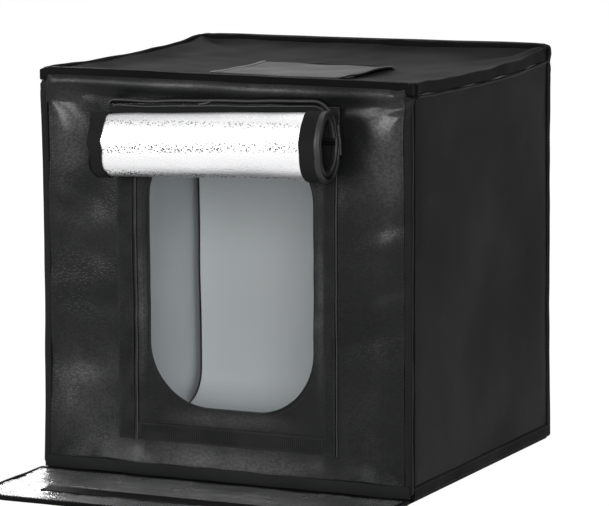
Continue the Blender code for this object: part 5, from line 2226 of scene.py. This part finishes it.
@dataclass
class Apron:
    """The closing apron in front of the base: foil above, leathercloth below, bound all round."""

    bench: Bench
    half_width: float = 0.2000
    back: float = -0.1845
    front: float = -0.3265
    cut_low: Pair = (-0.1953, -0.3218)
    cut_high: Pair = (0.1953, -0.1892)
    thickness: float = 0.0037
    border: float = 0.0052
    radius: float = 0.0380
    back_radius: float = 0.0030
    ring_reach: float = 0.0655
    crease_line: float = -0.1975
    hook_back: float = -0.2665
    hook_front: float = -0.2865
    hook_half_length: float = 0.1450
    web_half_length: float = 0.1960

    def relief(self, flat: Array) -> Array:
        """Returns how far the foil stands up at points (x, y), most along its hinge."""
        height = 0.0003 * wander(flat, 0.05, 161) + 0.0002 * wander(flat, 0.02, 162)
        return height + 0.0007 * swell(flat[:, 1] - self.crease_line, 0.0022)

    def layer(
        self, name: str, node: str, near: float, far: float, finish: str, relief: Relief | None = None
    ) -> None:
        """Builds one of the apron's layers, its front corners rounded.

        Args:
            name: the layer's name.
            node: the node that it replaces.
            near: the level of its shaped side.
            far: the level of its other side.
            finish: its finish.
            relief: how far the shaped side stands out.
        """
        corner = self.radius - 0.0050
        radii = (corner, SHARP, SHARP, corner)
        insets = self.ring_reach * np.linspace(0, 1, 26)
        rings = [outline(self.cut_low, self.cut_high, radii, inset, FINE_STEP) for inset in insets]
        flat = np.vstack(rings)
        count = len(rings[0])
        inner = len(flat) - count
        faces = lattice(len(rings), count, False, True) + [tuple(range(inner, inner + count))]
        lift = math.copysign(1, near - far) * relief(flat) if relief else 0.0
        near, far = Plane.TOP.lift(flat, near + lift), Plane.TOP.lift(flat, far + lift * 0.6)
        self.bench.add(name, close_sheet(near, far, faces), finish, "apron", (node,))

    def build(self) -> None:
        """Builds the apron's layers, bound edge, hook tape and hinge."""
        self.layer("apron_leather", "apron_cover", 0.0, COVER, "wall_leathercloth")
        self.layer("apron_stiffener", "apron_board", 0.0028, 0.0013, "stiff_board")
        self.layer("apron_foil", "apron_lining", self.thickness, 0.0031, "apron_foil", self.relief)
        low, high = (-self.half_width, self.front), (self.half_width, self.back)
        radii = (self.radius, self.back_radius, self.back_radius, self.radius)
        section = soft_box((0.0, 0.0), (self.border, self.thickness + 0.0009), 0.0014)
        shape = rim(Plane.TOP, low, high, radii, section)
        shape.points = ruffle(shape.points, 0.00018, 0.04, 171)
        shape.points[:, 2] = np.maximum(shape.points[:, 2], 0.0)
        self.bench.add("apron_bound_edge", shape, "bound_tape", "apron", ("apron_binding",))
        seam = outline(low, high, radii, self.border + 0.0022)
        path = Plane.TOP.lift(seam, self.thickness + 0.0002 + self.relief(seam))
        self.bench.stitch("apron_edge_stitches", [path], "apron", True)
        self.build_hooks()
        self.build_hinge()

    def build_hooks(self) -> None:
        """Builds the strip of hook tape, with its two rows of stitches."""
        middle, half = (self.hook_back + self.hook_front) / 2, (self.hook_back - self.hook_front) / 2
        level, reach = self.thickness + 0.0009, self.hook_half_length
        line = np.linspace((-reach, middle, level), (reach, middle, level), 90)
        shape = sweep(line, BACK, UP, soft_box((-half, -0.0009), (half, 0.0006), 0.0004))
        self.bench.add("apron_hooks", shape, "hook_tape", "apron", ("apron_hook_tape",))
        rows = [line + np.array((0.0, shift, 0.0004)) for shift in (half - 0.0015, 0.0015 - half)]
        self.bench.stitch("apron_hook_stitches", rows, "apron", False, 0.0034)

    def build_hinge(self) -> None:
        """Builds the web of cloth that joins the apron to the base."""
        flat = resample([(-0.1700, 0.0005), (-0.2000, 0.0005)], 0.0008)
        x = np.linspace(-self.web_half_length, self.web_half_length, 50)
        near = extrude(flat, x)
        shape = close_sheet(near, near + 0.0003 * UP, lattice(len(x), len(flat)))
        bend = Bend("base", "apron", (0.0, -0.1800, 0.0), (0.0, -0.1890, 0.0))
        self.bench.add("apron_hinge_web", shape, "bound_tape", bend)


# Studio


@dataclass
class Studio:
    """The floor, the soft lights, the pale surroundings and the camera."""

    camera_place: Point = (1.662, -3.550, 0.797)
    yaw: float = 25.04
    pitch: float = 8.58
    roll: float = -0.16
    focal: float = 3925.0
    image_width: float = 609.0
    sensor: float = 36.0
    aim: Point = (0.0, 0.0, 0.2)
    floor_reach: float = 30.0
    floor_level: float = -0.0002
    floor_tone: float = 0.80
    floor_glow: float = 1.17
    floor_glow_share: float = 0.80
    room_level: float = 0.38
    lamps: tuple[tuple[str, Point, float, float], ...] = (
        ("key_softbox", (-1.75, -2.45, 0.95), 1.1, 40.0),
        ("camera_softbox", (1.35, -2.95, 0.85), 1.0, 40.0),
        ("top_softbox", (0.0, 0.3, 2.3), 1.4, 10.0),
        ("back_softbox", (-2.2, 2.0, 1.1), 1.2, 26.0),
    )

    def build(self) -> None:
        """Sets up the scene round the tent."""
        self.build_floor()
        self.build_world()
        for name, place, size, power in self.lamps:
            self.build_lamp(name, place, size, power)
        self.build_camera()
        bpy.context.scene.view_settings.view_transform = "Standard"

    def build_floor(self) -> None:
        """Builds the pale floor, seen nearly white with the tent's shadow kept."""
        mesh = bpy.data.meshes.new("floor")
        reach, level = self.floor_reach, self.floor_level
        corners = ((-reach, -reach), (reach, -reach), (reach, reach), (-reach, reach))
        mesh.from_pydata([(x, y, level) for x, y in corners], [], [(0, 1, 2, 3)])
        material = bpy.data.materials.new("pale_floor")
        material.use_nodes = True
        graph = Graph(material.node_tree)
        nodes = material.node_tree.nodes
        shader = nodes["Principled BSDF"]
        shader.inputs["Base Color"].default_value = (*(self.floor_tone,) * 3, 1)
        shader.inputs["Roughness"].default_value = 0.9
        shader.inputs["Specular IOR Level"].default_value = 0.0
        glow = graph.add("ShaderNodeEmission", {"Color": (1, 1, 1, 1), "Strength": self.floor_glow})
        share = graph.times(self.seen(graph), self.floor_glow_share)
        mixed = graph.add("ShaderNodeMixShader", {0: share, 1: shader.outputs[0], 2: glow.outputs[0]})
        material.node_tree.links.new(mixed.outputs[0], nodes["Material Output"].inputs["Surface"])
        mesh.materials.append(material)
        floor = stand("floor", mesh)
        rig.stage(floor)

    def seen(self, graph: Graph) -> Socket:
        """Makes the mask of rays from the camera, a mirror or a clear surface.

        Args:
            graph: the material's or the world's graph.

        Returns:
            1 for those rays, 0 for the others.
        """
        path = graph.add("ShaderNodeLightPath").outputs
        seen = graph.calc("MAXIMUM", path["Is Camera Ray"], path["Is Glossy Ray"])
        return graph.calc("MAXIMUM", seen, path["Is Transmission Ray"])

    def build_world(self) -> None:
        """Builds the pale surroundings."""
        world = bpy.data.worlds.new("pale_room")
        bpy.context.scene.world = world
        world.use_nodes = True
        graph = Graph(world.node_tree)
        level = graph.ease(self.seen(graph), 0.0, 1.0, self.room_level, 1.0)
        colour = graph.add("ShaderNodeCombineXYZ", {0: level, 1: level, 2: level}).outputs[0]
        world.node_tree.links.new(colour, world.node_tree.nodes["Background"].inputs["Color"])

    def build_lamp(self, name: str, place: Point, size: float, power: float) -> None:
        """Hangs one soft light, aimed at the tent's middle.

        Args:
            name: the light's name.
            place: where it hangs.
            size: its width in metres.
            power: its power in watts.
        """
        lamp = bpy.data.lights.new(name, "AREA")
        lamp.shape = "DISK"
        lamp.size = size
        lamp.energy = power
        holder = stand(name, lamp)
        holder.location = place
        holder.rotation_mode = "QUATERNION"
        holder.rotation_quaternion = (Vector(self.aim) - Vector(place)).to_track_quat("-Z", "Y")

    def build_camera(self) -> None:
        """Places the camera at the picture's viewing angle."""
        camera = bpy.data.cameras.new("camera")
        camera.sensor_width = self.sensor
        camera.lens = self.focal * self.sensor / self.image_width
        camera.clip_start, camera.clip_end = 0.05, 200.0
        turn = Matrix.Rotation(math.radians(self.yaw), 4, "Z")
        turn @= Matrix.Rotation(math.radians(90 - self.pitch), 4, "X")
        turn @= Matrix.Rotation(math.radians(self.roll), 4, "Z")
        holder = stand("camera", camera)
        holder.matrix_world = Matrix.Translation(self.camera_place) @ turn
        bpy.context.scene.camera = holder


def main() -> None:
    """Builds the tent and its studio, and writes the sizes before and after."""
    logging.basicConfig(level=logging.INFO, format="%(name)s %(message)s")
    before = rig.bounds()
    bench = Bench()
    for part in (
        Base(bench),
        SideWall(bench, "left_wall", -1),
        SideWall(bench, "right_wall", 1),
        TopPanel(bench),
        FrontPanel(bench),
        WindowFlap(bench),
        BackPanel(bench),
        Apron(bench),
    ):
        part.build()
    bench.dress("cable_port_grommet", "moulded_rubber")
    Studio().build()
    sizes = {"frame": [list(corner) for corner in before], "looks": [list(corner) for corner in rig.bounds()]}
    with open(SIZE_FILE, "w", encoding="utf-8") as out:
        json.dump(sizes, out)


if __name__ == "__main__":
    main()
